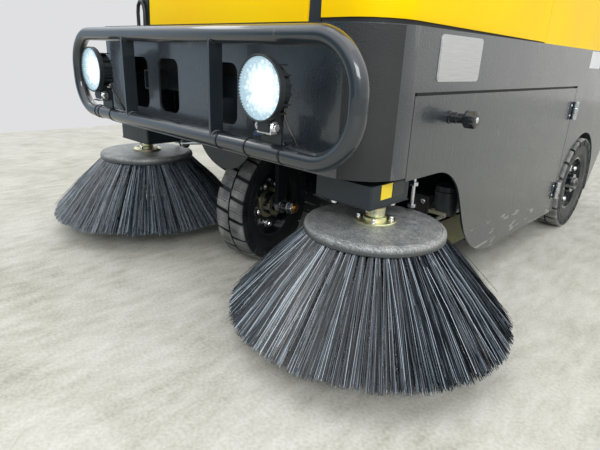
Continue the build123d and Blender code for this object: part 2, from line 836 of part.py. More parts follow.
tunnel_end_x = tunnel_half_width + tunnel_sheet
with BuildPart() as brush_tunnel:
    extrude(tunnel_outline(0), amount=tunnel_end_x, both=True)
    extrude(tunnel_outline(tunnel_sheet), amount=tunnel_half_width, both=True, mode=Mode.SUBTRACT)
    with Locations((0, roller_y, roller_z)):
        Cylinder(
            roller_shaft_radius + axle_running_gap, 3 * tunnel_end_x,
            rotation=(0, 90, 0), mode=Mode.SUBTRACT,
        )
    tunnel_top_z = roller_z + tunnel_radius + tunnel_sheet
    for side in (-1, 1):
        with Locations((side * rail_x, roller_y, tunnel_top_z - tunnel_sheet / 2)):
            Box(
                hanger_plate, hanger_depth, rail_top_z - rail_height - tunnel_top_z + tunnel_sheet / 2,
                align=(Align.CENTER, Align.CENTER, Align.MIN),
            )
export_piece(brush_tunnel.part, "brush_tunnel")

with BuildPart() as tunnel_skirts:
    for side in (-1, 1):
        with Locations((side * tunnel_end_x, fascia_y + tunnel_front, skirt_drop_z)):
            Box(
                skirt_thickness, roller_y - roller_shaft_radius * 2 - tunnel_front - fascia_y,
                skirt_top_z - skirt_drop_z,
                align=(Align.MIN if side > 0 else Align.MAX, Align.MIN, Align.MIN),
            )
export_piece(tunnel_skirts.part, "tunnel_skirts")

# Main roller brush: shaft, core and bristle drum in one turned piece
with BuildPart() as main_brush:
    with Locations((0, roller_y, roller_z)):
        Cylinder(roller_radius, 2 * roller_half_length, rotation=(0, 90, 0))
        Cylinder(
            roller_core_radius, 2 * (roller_half_length + roller_core_overhang),
            rotation=(0, 90, 0),
        )
        Cylinder(roller_shaft_radius, 2 * tunnel_end_x, rotation=(0, 90, 0))
export_piece(main_brush.part, "main_brush")

# Side brushes: swing arm with the motor box, hub and disc, and the bristle cone
side_brush_table = [
    # side, name, inner and outer side of the motor box
    (1, "left", 363.0, 505.0),
    (-1, "right", 328.0, 490.0),
]
for side, side_name, motor_box_inner_x, motor_box_outer_x in side_brush_table:
    brush_axis = Axis((side * brush_x, brush_y, 0), (0, 0, 1))
    with BuildPart() as brush_arm:
        box_centre_x = side * (motor_box_inner_x + motor_box_outer_x) / 2
        box_centre_y = fascia_y + (motor_box_front + motor_box_rear) / 2
        with Locations((box_centre_x, box_centre_y, motor_box_bottom_z)):
            Box(
                motor_box_outer_x - motor_box_inner_x, motor_box_rear - motor_box_front,
                motor_box_top_z - motor_box_bottom_z,
                align=(Align.CENTER, Align.CENTER, Align.MIN),
            )
            fillet(brush_arm.edges().filter_by(Axis.Z), motor_box_edge)
        arm_centre_x = side * (arm_inner_x + arm_outer_x) / 2
        with Locations((arm_centre_x, arm_pivot_y, motor_box_top_z)):
            Box(
                arm_outer_x - arm_inner_x, arm_pivot_y - fascia_y - arm_front, arm_thickness,
                align=(Align.CENTER, Align.MAX, Align.MIN),
            )
        with Locations((arm_centre_x, arm_pivot_y, arm_pivot_z)):
            Cylinder(arm_barrel_radius, arm_outer_x - arm_inner_x, rotation=(0, 90, 0))
            Cylinder(
                arm_pin_radius + axle_running_gap, 2 * arm_outer_x,
                rotation=(0, 90, 0), mode=Mode.SUBTRACT,
            )
    export_piece(brush_arm.part, f"{side_name}_brush_arm")

    section = Plane((side * brush_x, brush_y, 0), x_dir=(1, 0, 0), z_dir=(0, -1, 0))
    with BuildPart() as brush_disc:
        with BuildSketch(section):
            with BuildLine():
                Polyline(
                    (0, disc_rim_z),
                    *[(disc_radius - inward, disc_rim_z + above) for inward, above in disc_edge],
                    (hub_flange_radius, disc_top_z),
                    (hub_flange_radius, disc_top_z + hub_flange_thickness),
                    (hub_radius, disc_top_z + hub_flange_thickness),
                    (hub_radius, motor_box_bottom_z - hub_pin_radius),
                    (hub_pin_radius, motor_box_bottom_z - hub_pin_radius),
                    (hub_pin_radius, motor_box_bottom_z - seat_gap),
                    (0, motor_box_bottom_z - seat_gap), close=True,
                )
            make_face()
        revolve(axis=brush_axis)
    export_piece(brush_disc.part, f"{side_name}_brush_disc")

    with BuildPart() as bristles:
        with BuildSketch(section):
            with BuildLine():
                Polyline(
                    (bristle_inner_radius, disc_rim_z), (disc_radius - bristle_root_inset, disc_rim_z),
                    (bristle_tip_radius, bristle_tip_z), (bristle_inner_tip_radius, bristle_tip_z),
                    close=True,
                )
            make_face()
        revolve(axis=brush_axis)
    export_piece(bristles.part, f"{side_name}_brush_bristles")

# Service doors: flat plates with the sweep cut out for the side brush
hinge_x = half_width + hinge_stand_off
for side, side_name in ((1, "left"), (-1, "right")):
    with BuildPart() as service_door:
        with BuildSketch(Plane.YZ.offset(side * (half_width - sheet))) as door_sketch:
            with BuildLine():
                Polyline(*[
                    (fascia_y + place, height) for place, height in (
                        (door_front + door_gap, door_top_z), (door_front + door_gap, door_step_z),
                        (door_step_top, door_step_z), (door_step_bottom, door_bottom_z),
                        (door_rear, door_bottom_z), (door_rear, door_top_z),
                    )
                ], close=True)
            make_face()
            upper_turn = (fascia_y + door_step_top, door_step_z, 0)
            fillet(door_sketch.vertices().sort_by_distance(upper_turn)[0], door_step_radius_top)
            lower_turn = (fascia_y + door_step_bottom, door_bottom_z, 0)
            fillet(door_sketch.vertices().sort_by_distance(lower_turn)[0], door_step_radius_bottom)
        extrude(amount=side * sheet)
        for height in hinge_heights:
            with Locations((side * half_width, fascia_y + door_rear - hinge_leaf_gap, height)):
                Box(
                    hinge_leaf_thickness, hinge_leaf, hinge_height,
                    align=(Align.MIN if side > 0 else Align.MAX, Align.MAX, Align.CENTER),
                )
        with BuildSketch(Plane.YZ.offset(side * half_width)):
            with Locations((fascia_y + knob_place, knob_z)):
                Circle(knob_stem_radius)
        extrude(amount=side * knob_reach)
        with BuildSketch(Plane.YZ.offset(side * (half_width + knob_reach - knob_head))):
            with Locations((fascia_y + knob_place, knob_z)):
                Circle(knob_core_radius)
                with PolarLocations(knob_lobe_circle, knob_lobes):
                    Circle(knob_lobe_radius)
        extrude(amount=side * knob_head)
    export_piece(service_door.part, f"service_door_{side_name}")

# Rear quarter panels: wheel arch, rising tail, and the fixed half of the door hinges
tail_place = arch_centre + arch_radius
tail_end_z = tail_low_z + (rear_corner_start - tail_place) * tail_rise / tail_run
for side, side_name in ((1, "left"), (-1, "right")):
    with BuildPart() as quarter_panel:
        with BuildSketch(Plane.YZ.offset(side * (half_width - sheet))):
            with BuildLine():
                Polyline(*[
                    (fascia_y + place, height) for place, height in (
                        (quarter_front, arch_front_bottom_z), (quarter_front, band_bottom_z),
                        (rear_corner_start, band_bottom_z), (rear_corner_start, tail_end_z),
                        (tail_place, tail_low_z), (tail_place, arch_front_bottom_z),
                    )
                ], close=True)
            make_face()
            with Locations((fascia_y + arch_centre, arch_centre_z)):
                Circle(arch_radius, mode=Mode.SUBTRACT)
                Rectangle(
                    2 * arch_radius, 2 * arch_centre_z, align=(Align.CENTER, Align.MAX),
                    mode=Mode.SUBTRACT,
                )
        extrude(amount=side * sheet)
        with BuildSketch(Plane.YZ.offset(side * (half_width - sheet))):
            with Locations((fascia_y + arch_centre, arch_centre_z)):
                Circle(arch_radius + arch_liner_sheet)
                Rectangle(
                    2 * (arch_radius + arch_liner_sheet), arch_centre_z - tail_low_z,
                    align=(Align.CENTER, Align.MAX),
                )
                Circle(arch_radius, mode=Mode.SUBTRACT)
                Rectangle(
                    2 * arch_radius, 2 * arch_centre_z, align=(Align.CENTER, Align.MAX),
                    mode=Mode.SUBTRACT,
                )
            with Locations((fascia_y + arch_centre, tail_low_z)):
                Rectangle(
                    4 * arch_radius, 2 * arch_radius, align=(Align.CENTER, Align.MAX),
                    mode=Mode.SUBTRACT,
                )
        extrude(amount=-side * arch_liner_depth)
        for height in hinge_heights:
            with Locations((side * hinge_x, fascia_y + door_rear, height)):
                Cylinder(hinge_radius, hinge_height)
            with Locations((side * half_width, fascia_y + quarter_front, height)):
                Box(
                    hinge_leaf_thickness, hinge_fixed_leaf, hinge_height,
                    align=(Align.MIN if side > 0 else Align.MAX, Align.MIN, Align.CENTER),
                )
            with Locations((side * half_width, fascia_y + door_rear, height)):
                Box(
                    hinge_stand_off, quarter_front - door_rear + hinge_web_lap, hinge_height,
                    align=(Align.MIN if side > 0 else Align.MAX, Align.MIN, Align.CENTER),
                )
    export_piece(quarter_panel.part, f"quarter_panel_{side_name}")

# Hopper: open-fronted steel bin whose floor follows the rising tail
hopper_rear = rear_wall_y - sheet - fascia_y
hopper_top_z = rail_top_z - rail_height
hopper_floor_z = tail_low_z + hopper_floor_gap
hopper_slope_place = tail_place + hopper_slope_start
hopper_tail_z = rear_bottom_z + hopper_tail_rise
hopper_outer = [
    (hopper_front, hopper_top_z), (hopper_front, hopper_floor_z), (hopper_slope_place, hopper_floor_z),
    (hopper_rear, hopper_tail_z), (hopper_rear, hopper_top_z),
]
hopper_inner = [
    (hopper_front + hopper_wall, hopper_top_z + hopper_cut),
    (hopper_front + hopper_wall, hopper_floor_z + hopper_wall),
    (hopper_slope_place - hopper_slope_shift, hopper_floor_z + hopper_wall),
    (hopper_rear + hopper_cut, hopper_tail_z + hopper_slope_wall),
    (hopper_rear + hopper_cut, hopper_top_z + hopper_cut),
]
with BuildPart() as hopper:
    extrude(side_face(hopper_outer), amount=hopper_half_width, both=True)
    extrude(side_face(hopper_inner), amount=hopper_half_width - hopper_wall, both=True, mode=Mode.SUBTRACT)
export_piece(hopper.part, "hopper")

# Tail door of the hopper, hung from its top edge outside the rear wall
with BuildPart() as hopper_door:
    with BuildSketch(Plane.XZ.offset(-rear_wall_y - seat_gap)):
        with Locations((0, (hopper_door_bottom_z + hopper_door_top_z) / 2)):
            RectangleRounded(
                2 * hopper_door_half_width, hopper_door_top_z - hopper_door_bottom_z, hopper_door_rim,
            )
    extrude(amount=-hopper_door_thickness)
    latch_y = rear_wall_y + seat_gap + hopper_door_thickness
    with Locations((0, latch_y, hopper_door_bottom_z + hopper_latch_rise)):
        Box(
            hopper_latch_width, hopper_door_thickness, hopper_latch_height,
            align=(Align.CENTER, Align.MIN, Align.CENTER),
        )
    for side in (-1, 1):
        with Locations((side * hopper_hinge_x + moving_knuckle_x, hopper_hinge_y, hopper_hinge_z)):
            Cylinder(hopper_hinge_radius, knuckle_length, rotation=(0, 90, 0))
        with Locations((side * hopper_hinge_x + fixed_knuckle_x, hopper_hinge_y, hopper_hinge_z)):
            Cylinder(
                hopper_hinge_radius + knuckle_gap, knuckle_length + knuckle_gap,
                rotation=(0, 90, 0), mode=Mode.SUBTRACT,
            )
export_piece(hopper_door.part, "hopper_door")

# Rear bumper tube, bent in to the rear wall at both ends, and the tail lamps
rear_bumper_y = rear_wall_y + rear_bumper_reach - rear_bumper_tube / 2
with BuildPart() as rear_bumper:
    with Locations((0, rear_bumper_y, rear_bumper_z)):
        Cylinder(rear_bumper_tube / 2, 2 * rear_bumper_half_width, rotation=(0, 90, 0))
    fillet(rear_bumper.edges(), rear_bumper_tube / 2 - 1)
    extrude(
        side_face([
            (body_length, 0), (body_length, 2 * rear_bumper_z),
            (body_length - 2 * rear_bumper_tube, 2 * rear_bumper_z), (body_length - 2 * rear_bumper_tube, 0),
        ]),
        amount=half_width, both=True, mode=Mode.SUBTRACT,
    )
export_piece(rear_bumper.part, "rear_bumper")

with BuildPart() as rear_lamps:
    with BuildSketch(Plane.XZ.offset(-rear_wall_y)):
        with Locations((-rear_lamp_x, rear_lamp_z), (rear_lamp_x, rear_lamp_z)):
            RectangleRounded(rear_lamp_width, rear_lamp_height, rear_lamp_corner)
    extrude(amount=-rear_lamp_depth)
export_piece(rear_lamps.part, "rear_lamps")

# Front cowl: raked panel with returned flanges

def cowl_solid(inset):
    """Outer form of the cowl, or its hollow when inset by the wall."""
    with BuildPart() as cowl:
        extrude(
            side_face([
                (cowl_base + inset, cowl_bottom_z - inset), (cowl_top + inset, cowl_top_z - inset),
                (cowl_top + cowl_flange + inset, cowl_top_z - inset),
                (cowl_base + cowl_flange + inset, cowl_bottom_z - inset),
            ]),
            amount=cowl_half_width - inset, both=True,
        )
        front_edges = cowl.faces().sort_by(Axis.Y)[0].edges().sort_by(Axis.Z)[1:]
        fillet(front_edges, cowl_edge_radius - inset)
    return cowl.part


with BuildPart() as front_cowl:
    add(cowl_solid(0))
    add(cowl_solid(panel), mode=Mode.SUBTRACT)
export_piece(front_cowl.part, "front_cowl")


# Left wing: wraps the corner and runs back to the hood, with a ledge on top
def wing_plan(outer_inset, inner_inset):
    """Band in plan between two lines set in from the wing's outer face."""
    with BuildSketch() as plan:
        with BuildLine():
            outer = FilletPolyline(
                (wing_inner_x, fascia_y + wing_front + outer_inset),
                (wing_front_x - outer_inset, fascia_y + wing_front + outer_inset),
                (half_width - outer_inset, fascia_y + wing_end),
                radius=wing_corner_radius - outer_inset,
            )
            inner = FilletPolyline(
                (wing_inner_x, fascia_y + wing_front + inner_inset),
                (wing_front_x - inner_inset, fascia_y + wing_front + inner_inset),
                (half_width - inner_inset, fascia_y + wing_end),
                radius=wing_corner_radius - inner_inset,
            )
            Line(outer @ 0, inner @ 0)
            Line(outer @ 1, inner @ 1)
        make_face()
    return plan.sketch


wing_foot = [
    (0, 0), (0, wing_front_bottom_z), (wing_front, wing_front_bottom_z),
    (wing_end, wing_rear_bottom_z), (wing_end + sheet, wing_rear_bottom_z), (wing_end + sheet, 0),
]
def wing_solid(inset):
    """Wing as a thick band with a rounded top edge, or its hollow when inset."""
    with BuildPart() as wing:
        with BuildSketch(Plane.XY.offset(tub_top_z)):
            add(wing_plan(inset, wing_ledge + inset))
        extrude(amount=wing_top_z - inset - tub_top_z)
        top_edges = wing.faces().sort_by(Axis.Z)[-1].edges()
        middle_x = (wing_inner_x + half_width) / 2
        outer_edges = [
            top_edges.sort_by_distance((x, fascia_y + place, wing_top_z))[0]
            for x, place in (
                (middle_x, wing_front), (half_width, wing_front), (half_width, wing_end / 2),
            )
        ]
        fillet(outer_edges, wing_edge_radius - inset)
    return wing.part


with BuildPart() as left_wing:
    add(wing_solid(0))
    add(wing_solid(panel), mode=Mode.SUBTRACT)
    extrude(side_face(wing_foot), amount=half_width + sheet, mode=Mode.SUBTRACT)
export_piece(left_wing.part, "left_wing")

# Rubber seal between the tub's rim and the yellow panels
seal_inset = 3.0
with BuildPart() as body_seal:
    with BuildSketch(Plane.XY.offset(tub_top_z)):
        add(wing_plan(seal_inset, seal_inset + 3 * panel))
    extrude(amount=wing_top_z - tub_top_z)
    extrude(side_face(wing_foot), amount=half_width + sheet, mode=Mode.INTERSECT)
    with Locations((0, fascia_y + cowl_base + seal_inset, tub_top_z)):
        Box(
            2 * (cowl_half_width - seal_inset), 2 * panel, cowl_bottom_z - tub_top_z,
            align=(Align.CENTER, Align.MIN, Align.MIN),
        )
export_piece(body_seal.part, "body_seal")


# Rear hood: seat platform, step behind the seat and the tail, hollow underneath
def hood_solid(inset):
    """Outer form of the hood, or its hollow when inset by the wall."""
    top = [
        (hood_front + inset, hood_seat_z - inset), (hood_step_foot + inset, hood_seat_z - inset),
        (hood_step_head + inset, hood_top_z - inset), (hood_tail - inset / 2, hood_top_z - inset),
        (rear_wall_y - fascia_y - inset, hood_tail_z - inset / 2),
    ]
    foot = [(rear_wall_y - fascia_y - inset, tub_top_z - inset), (hood_front + inset, tub_top_z - inset)]
    with BuildPart() as hood:
        extrude(side_face(top + foot), amount=half_width, both=True)
        with BuildSketch(Plane.XY.offset(tub_top_z - panel)):
            add(plan_outline(inset))
        extrude(amount=hood_top_z, mode=Mode.INTERSECT)
        side_rim = [
            edge for edge in hood.edges()
            if edge.center().Z > hood_seat_z - hood_rim_drop
            and abs(edge.center().X) > half_width - inset - hood_rim_band
        ]
        fillet(side_rim, hood_edge_radius - inset)
    return hood.part


with BuildPart() as rear_hood:
    add(hood_solid(0))
    add(hood_solid(panel), mode=Mode.SUBTRACT)
    with BuildSketch(Plane.XY.offset(hood_top_z)):
        with Locations((0, fascia_y + (lid_front + lid_rear) / 2)):
            RectangleRounded(
                2 * (lid_half_width - lid_overlap), lid_rear - lid_front - 2 * lid_overlap,
                lid_corner_radius - lid_overlap,
            )
    extrude(amount=2 * panel, both=True, mode=Mode.SUBTRACT)
    for side in (-1, 1):
        with Locations((side * lid_hinge_x + fixed_knuckle_x, lid_hinge_y, lid_hinge_z)):
            Cylinder(lid_hinge_radius, knuckle_length, rotation=(0, 90, 0))
            Box(
                knuckle_length, lid_hinge_radius, lid_hinge_z - hood_top_z + panel / 2,
                align=(Align.CENTER, Align.MIN, Align.MAX),
            )
export_piece(rear_hood.part, "rear_hood")

with BuildPart() as rear_lid:
    with BuildSketch(Plane.XY.offset(hood_top_z + seat_gap)):
        with Locations((0, fascia_y + (lid_front + lid_rear) / 2)):
            RectangleRounded(2 * lid_half_width, lid_rear - lid_front, lid_corner_radius)
    extrude(amount=lid_thickness)
    fillet(rear_lid.faces().sort_by(Axis.Z)[-1].edges(), lid_thickness / 2)
    for side in (-1, 1):
        with Locations((side * lid_hinge_x + moving_knuckle_x, lid_hinge_y, lid_hinge_z)):
            Cylinder(lid_hinge_radius, knuckle_length, rotation=(0, 90, 0))
        with Locations((side * lid_hinge_x + fixed_knuckle_x, lid_hinge_y, lid_hinge_z)):
            Cylinder(
                lid_hinge_radius + knuckle_gap, knuckle_length + knuckle_gap,
                rotation=(0, 90, 0), mode=Mode.SUBTRACT,
            )
export_piece(rear_lid.part, "rear_lid")

# Cab frame: two bent side frames joined by cross tubes at the roof
rake = (pillar_head - pillar_waist) / (roof_frame_z - pillar_waist_z)
inner_roof_z = roof_frame_z - frame_tube
inner_head = pillar_head + frame_tube - rake * frame_tube
side_frame = [
    (pillar_foot, tub_top_z), (pillar_waist, pillar_waist_z), (pillar_head, roof_frame_z),
    (rear_post, roof_frame_z), (rear_post, hood_top_z), (rear_post - frame_tube, hood_top_z),
    (rear_post - frame_tube, inner_roof_z), (inner_head, inner_roof_z),
    (pillar_waist + frame_tube, pillar_waist_z), (pillar_foot + frame_tube, tub_top_z),
]
with BuildPart() as cab_frame:
    for side in (-1, 1):
        with BuildSketch(Plane.YZ.offset(side * frame_inner_x)):
            with BuildLine():
                Polyline(*[(fascia_y + place, height) for place, height in side_frame], close=True)
            make_face()
        extrude(amount=side * frame_tube)
    for place in (pillar_head + frame_tube / 2, rear_post - frame_tube / 2):
        with Locations((0, fascia_y + place, roof_frame_z)):
            Box(
                2 * frame_inner_x, frame_tube - cross_tube_step, frame_tube,
                align=(Align.CENTER, Align.CENTER, Align.MAX),
            )
export_piece(cab_frame.part, "cab_frame")

# Roof: shallow tray with rounded corners, resting on the cab frame
with BuildPart() as roof_panel:
    roof_centre_y = fascia_y + (roof_front + roof_rear) / 2
    with BuildSketch(Plane.XY.offset(roof_frame_z - roof_skirt)):
        with Locations((0, roof_centre_y)):
            RectangleRounded(2 * roof_half_width, roof_rear - roof_front, roof_corner_radius)
    extrude(amount=roof_skirt + roof_thickness)
    fillet(roof_panel.faces().sort_by(Axis.Z)[-1].edges(), roof_edge_radius)
    with BuildPart(mode=Mode.SUBTRACT) as roof_hollow:
        with BuildSketch(Plane.XY.offset(roof_frame_z - roof_skirt)):
            with Locations((0, roof_centre_y)):
                RectangleRounded(
                    2 * (roof_half_width - roof_wall), roof_rear - roof_front - 2 * roof_wall,
                    roof_corner_radius - roof_wall,
                )
        extrude(amount=roof_skirt)
        fillet(roof_hollow.faces().sort_by(Axis.Z)[-1].edges(), roof_edge_radius - roof_wall)
export_piece(roof_panel.part, "roof_panel")

# Windscreen between the pillars, from the cowl to the roof tube
glass_foot_z = cowl_top_z + glass_foot_gap
glass_head_z = inner_roof_z - seat_gap
glass_front = pillar_waist + (frame_tube - glass_thickness) / 2
glass_head = glass_front + rake * (glass_head_z - glass_foot_z)
with BuildPart() as windscreen:
    extrude(
        side_face([
            (glass_front, glass_foot_z), (glass_head, glass_head_z),
            (glass_head + glass_thickness, glass_head_z), (glass_front + glass_thickness, glass_foot_z),
        ]),
        amount=frame_inner_x - seat_gap, both=True,
    )
export_piece(windscreen.part, "windscreen")

# Console with the steering column, standing on the footwell floor
column_direction = (0, sin(radians(column_tilt)), cos(radians(column_tilt)))
console_head = console_front + console_head_depth
console_nose = console_head + console_knee
console_knee_z = column_foot_z - console_knee_drop
column_plane = Plane((0, fascia_y + column_foot, column_foot_z), x_dir=(1, 0, 0), z_dir=column_direction)
with BuildPart() as console:
    extrude(
        side_face([
            (console_front, floor_z), (console_front, console_top_z), (console_head, console_top_z),
            (console_nose, column_foot_z), (console_nose, console_knee_z), (console_head, floor_z),
        ]),
        amount=console_half_width, both=True,
    )
    extrude(
        side_face([
            (console_front - panel, floor_z), (console_front - panel, console_top_z - panel),
            (console_head - panel, console_top_z - panel), (console_nose - panel, column_foot_z),
            (console_nose - panel, console_knee_z + panel), (console_head - panel, floor_z),
        ]),
        amount=console_half_width - panel, both=True, mode=Mode.SUBTRACT,
    )
    with BuildSketch(column_plane):
        Circle(column_radius)
    extrude(amount=column_length)
export_piece(console.part, "console")

wheel_plane = column_plane.offset(column_length + seat_gap)
with BuildPart(wheel_plane) as steering_wheel:
    Cylinder(wheel_boss_radius, wheel_boss_height, align=(Align.CENTER, Align.CENTER, Align.MIN))
    with Locations((0, 0, wheel_boss_height / 2)):
        Torus(steering_wheel_radius, steering_grip_radius)
        with PolarLocations(steering_wheel_radius / 2, spoke_count, start_angle=90):
            Box(steering_wheel_radius, spoke_width, spoke_thickness)
export_piece(steering_wheel.part, "steering_wheel")

# Seat cushion and raked back, standing on the hood's platform
with BuildPart() as seat_cushion:
    with BuildSketch(Plane.XY.offset(hood_seat_z)):
        with Locations((0, fascia_y + (cushion_front + cushion_rear) / 2)):
            RectangleRounded(2 * seat_half_width, cushion_rear - cushion_front, 2 * seat_edge_radius)
    extrude(amount=cushion_height)
    fillet(seat_cushion.faces().sort_by(Axis.Z)[-1].edges(), seat_edge_radius)
export_piece(seat_cushion.part, "seat_cushion")

back_foot = cushion_rear + back_gap
with BuildPart() as seat_back:
    extrude(
        side_face([
            (back_foot, hood_seat_z), (back_foot + back_rake, back_top_z),
            (back_foot + back_rake + back_thickness, back_top_z),
            (back_foot + back_thickness, hood_seat_z),
        ]),
        amount=seat_half_width, both=True,
    )
    fillet(seat_back.faces().sort_by(Axis.Z)[-1].edges(), seat_edge_radius)
export_piece(seat_back.part, "seat_back")

# Battery pack on the deck under the seat, one plain block
with BuildPart() as battery_block:
    with Locations((0, fascia_y + (battery_front + battery_rear) / 2, tub_top_z)):
        Box(
            2 * battery_half_width, battery_rear - battery_front, battery_height,
            align=(Align.CENTER, Align.CENTER, Align.MIN),
        )
export_piece(battery_block.part, "battery_block")
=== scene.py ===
import random
from math import cos, exp, pi, radians, sin

import bmesh
import bpy
from mathutils import Matrix, Vector
from mathutils.bvhtree import BVHTree


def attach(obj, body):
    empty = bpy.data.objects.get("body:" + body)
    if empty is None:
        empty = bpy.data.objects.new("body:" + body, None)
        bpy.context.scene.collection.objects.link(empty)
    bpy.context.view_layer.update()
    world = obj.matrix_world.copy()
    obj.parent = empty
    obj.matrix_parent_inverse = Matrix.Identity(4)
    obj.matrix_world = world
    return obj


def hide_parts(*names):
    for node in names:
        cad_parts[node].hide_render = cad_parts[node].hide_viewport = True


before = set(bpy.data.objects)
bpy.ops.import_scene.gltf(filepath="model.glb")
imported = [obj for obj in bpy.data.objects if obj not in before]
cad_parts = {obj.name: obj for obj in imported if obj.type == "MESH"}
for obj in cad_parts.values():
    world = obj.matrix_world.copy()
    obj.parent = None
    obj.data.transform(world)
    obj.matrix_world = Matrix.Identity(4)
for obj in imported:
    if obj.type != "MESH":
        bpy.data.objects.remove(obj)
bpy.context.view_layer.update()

# Camera: a hand-held wide lens, low at the machine's left front corner, looking down
# across the bumper at the side brush that stands nearest.
def placed(name, data):
    """An object for these data, linked to the scene."""
    made = bpy.data.objects.new(name, data)
    bpy.context.scene.collection.objects.link(made)
    return made


camera_data = bpy.data.cameras.new("camera")
camera_data.sensor_width = 36.0
camera_data.lens = 28.465
camera = placed("camera", camera_data)
camera.matrix_world = Matrix((
    (0.715, -0.2623, 0.6481, 1.0026),
    (0.6979, 0.2127, -0.6839, -1.459),
    (0.0415, 0.9413, 0.3351, 0.5763),
    (0.0, 0.0, 0.0, 1.0),
))
bpy.context.scene.camera = camera
bpy.context.scene.view_settings.view_transform = "Standard"

# Floor and light: pale sealed concrete that ends on the machine's right with a pale hall backdrop
# beyond, soft daylight all round, and lamps above and in front.
class Shade:
    """A socket of a node tree; sums and products of shades add the nodes for them."""

    def __init__(self, recipe, socket):
        self.recipe = recipe
        self.socket = socket

    def __add__(self, other):
        return self.recipe.math("ADD", self, other)

    def __sub__(self, other):
        return self.recipe.math("SUBTRACT", self, other)

    def __rsub__(self, other):
        return self.recipe.math("SUBTRACT", other, self)

    def __mul__(self, other):
        return self.recipe.math("MULTIPLY", self, other)

    def __truediv__(self, other):
        return self.recipe.math("DIVIDE", self, other)

    def __pow__(self, other):
        return self.recipe.math("POWER", self, other)

    def __gt__(self, other):
        return self.recipe.math("GREATER_THAN", self, other)

    def __lt__(self, other):
        return self.recipe.math("LESS_THAN", self, other)

    def __abs__(self):
        return self.recipe.math("ABSOLUTE", self, 0.0)


class Recipe:
    """A node tree whose sockets are fed with numbers, colours and shades."""

    def __init__(self, tree):
        self.nodes = tree.nodes
        self.links = tree.links

    def feed(self, socket, value):
        if isinstance(value, Shade):
            self.links.new(value.socket, socket)
        elif isinstance(value, tuple) and len(value) == 3 and socket.type == "RGBA":
            socket.default_value = (*value, 1.0)
        else:
            socket.default_value = value

    def node(self, kind, settings=None, inputs=None, output=0):
        """A node of any kind: its settings first, then the values or links of its inputs."""
        made = self.nodes.new("ShaderNode" + kind)
        for setting, value in (settings or {}).items():
            if setting == "stops":
                while len(made.color_ramp.elements) < len(value):
                    made.color_ramp.elements.new(1.0)
                for element, (position, colour) in zip(made.color_ramp.elements, value):
                    element.position = position
                    element.color = (*colour, 1.0)
            else:
                setattr(made, setting, value)
        for key, value in (inputs or {}).items():
            self.feed(made.inputs[key], value)
        return Shade(self, made.outputs[output])

    def math(self, operation, first, second):
        return self.node("Math", {"operation": operation}, {0: first, 1: second})

    def rescale(self, value, low, high, new_low, new_high):
        return self.node("MapRange", None, {0: value, 1: low, 2: high, 3: new_low, 4: new_high})

    def spread(self, noise, low, high):
        """Spreads the usual range of a noise over two values."""
        return self.rescale(noise, 0.3, 0.7, low, high)

    def blend(self, share, first, second):
        return self.node(
            "Mix", {"data_type": "RGBA"}, {0: share, 6: first, 7: second}, output=2,
        )

    def ramp(self, value, stops):
        return self.node("ValToRGB", {"stops": stops}, {0: value})


class Finish(Recipe):
    """A principled material and its slot; its patterns lie in the object's coordinates."""

    def __init__(self, name, sockets, slot=""):
        self.slot = slot
        self.material = bpy.data.materials.new(name)
        self.material.use_nodes = True
        super().__init__(self.material.node_tree)
        self.shader = self.nodes["Principled BSDF"]
        self.set(sockets)

    def set(self, sockets):
        for label, value in sockets.items():
            self.feed(self.shader.inputs[label], value)
        return self

    def place(self):
        return self.node("TexCoord", output="Object")

    def along(self, axis):
        return self.node("SeparateXYZ", None, {0: self.place()}, axis)

    def noise(self, scale, detail=2.0, stretch=(1.0, 1.0, 1.0)):
        spread = self.node("VectorMath", {"operation": "MULTIPLY"}, {0: self.place(), 1: stretch})
        return self.node("TexNoise", None, {"Vector": spread, "Scale": scale, "Detail": detail})

    def cells(self, scale):
        return self.node("TexVoronoi", None, {"Vector": self.place(), "Scale": scale})

    def bump(self, height, strength, distance):
        return self.node(
            "Bump", None, {"Strength": strength, "Distance": distance, "Height": height},
        )


concrete = Finish("pale_concrete", {"Roughness": 0.8, "Specular IOR Level": 0.3})
clouds = concrete.noise(1.9, 6.0)
stains = concrete.noise(6.5, 5.0)
streaks = concrete.noise(34.0, 6.0, (1.0, 0.35, 1.0))
grit = concrete.noise(150.0, 3.0)
concrete.set({
    "Base Color": concrete.ramp(clouds * 0.24 + stains * 0.2 + streaks * 0.3 + grit * 0.26, [
        (0.38, (0.42, 0.41, 0.35)), (0.46, (0.555, 0.545, 0.48)), (0.53, (0.64, 0.63, 0.57)),
        (0.62, (0.74, 0.735, 0.68)),
    ]),
    "Normal": concrete.bump(streaks + grit, 0.3, 0.002),
})
wall_x = -2.7
floor_end = 9.0
floor_mesh = bpy.data.meshes.new("floor")
floor_mesh.from_pydata([
    (wall_x, -floor_end, 0), (floor_end, -floor_end, 0), (floor_end, floor_end, 0),
    (wall_x, floor_end, 0),
], [], [(0, 1, 2, 3)])
floor_mesh.materials.append(concrete.material)
placed("floor", floor_mesh)

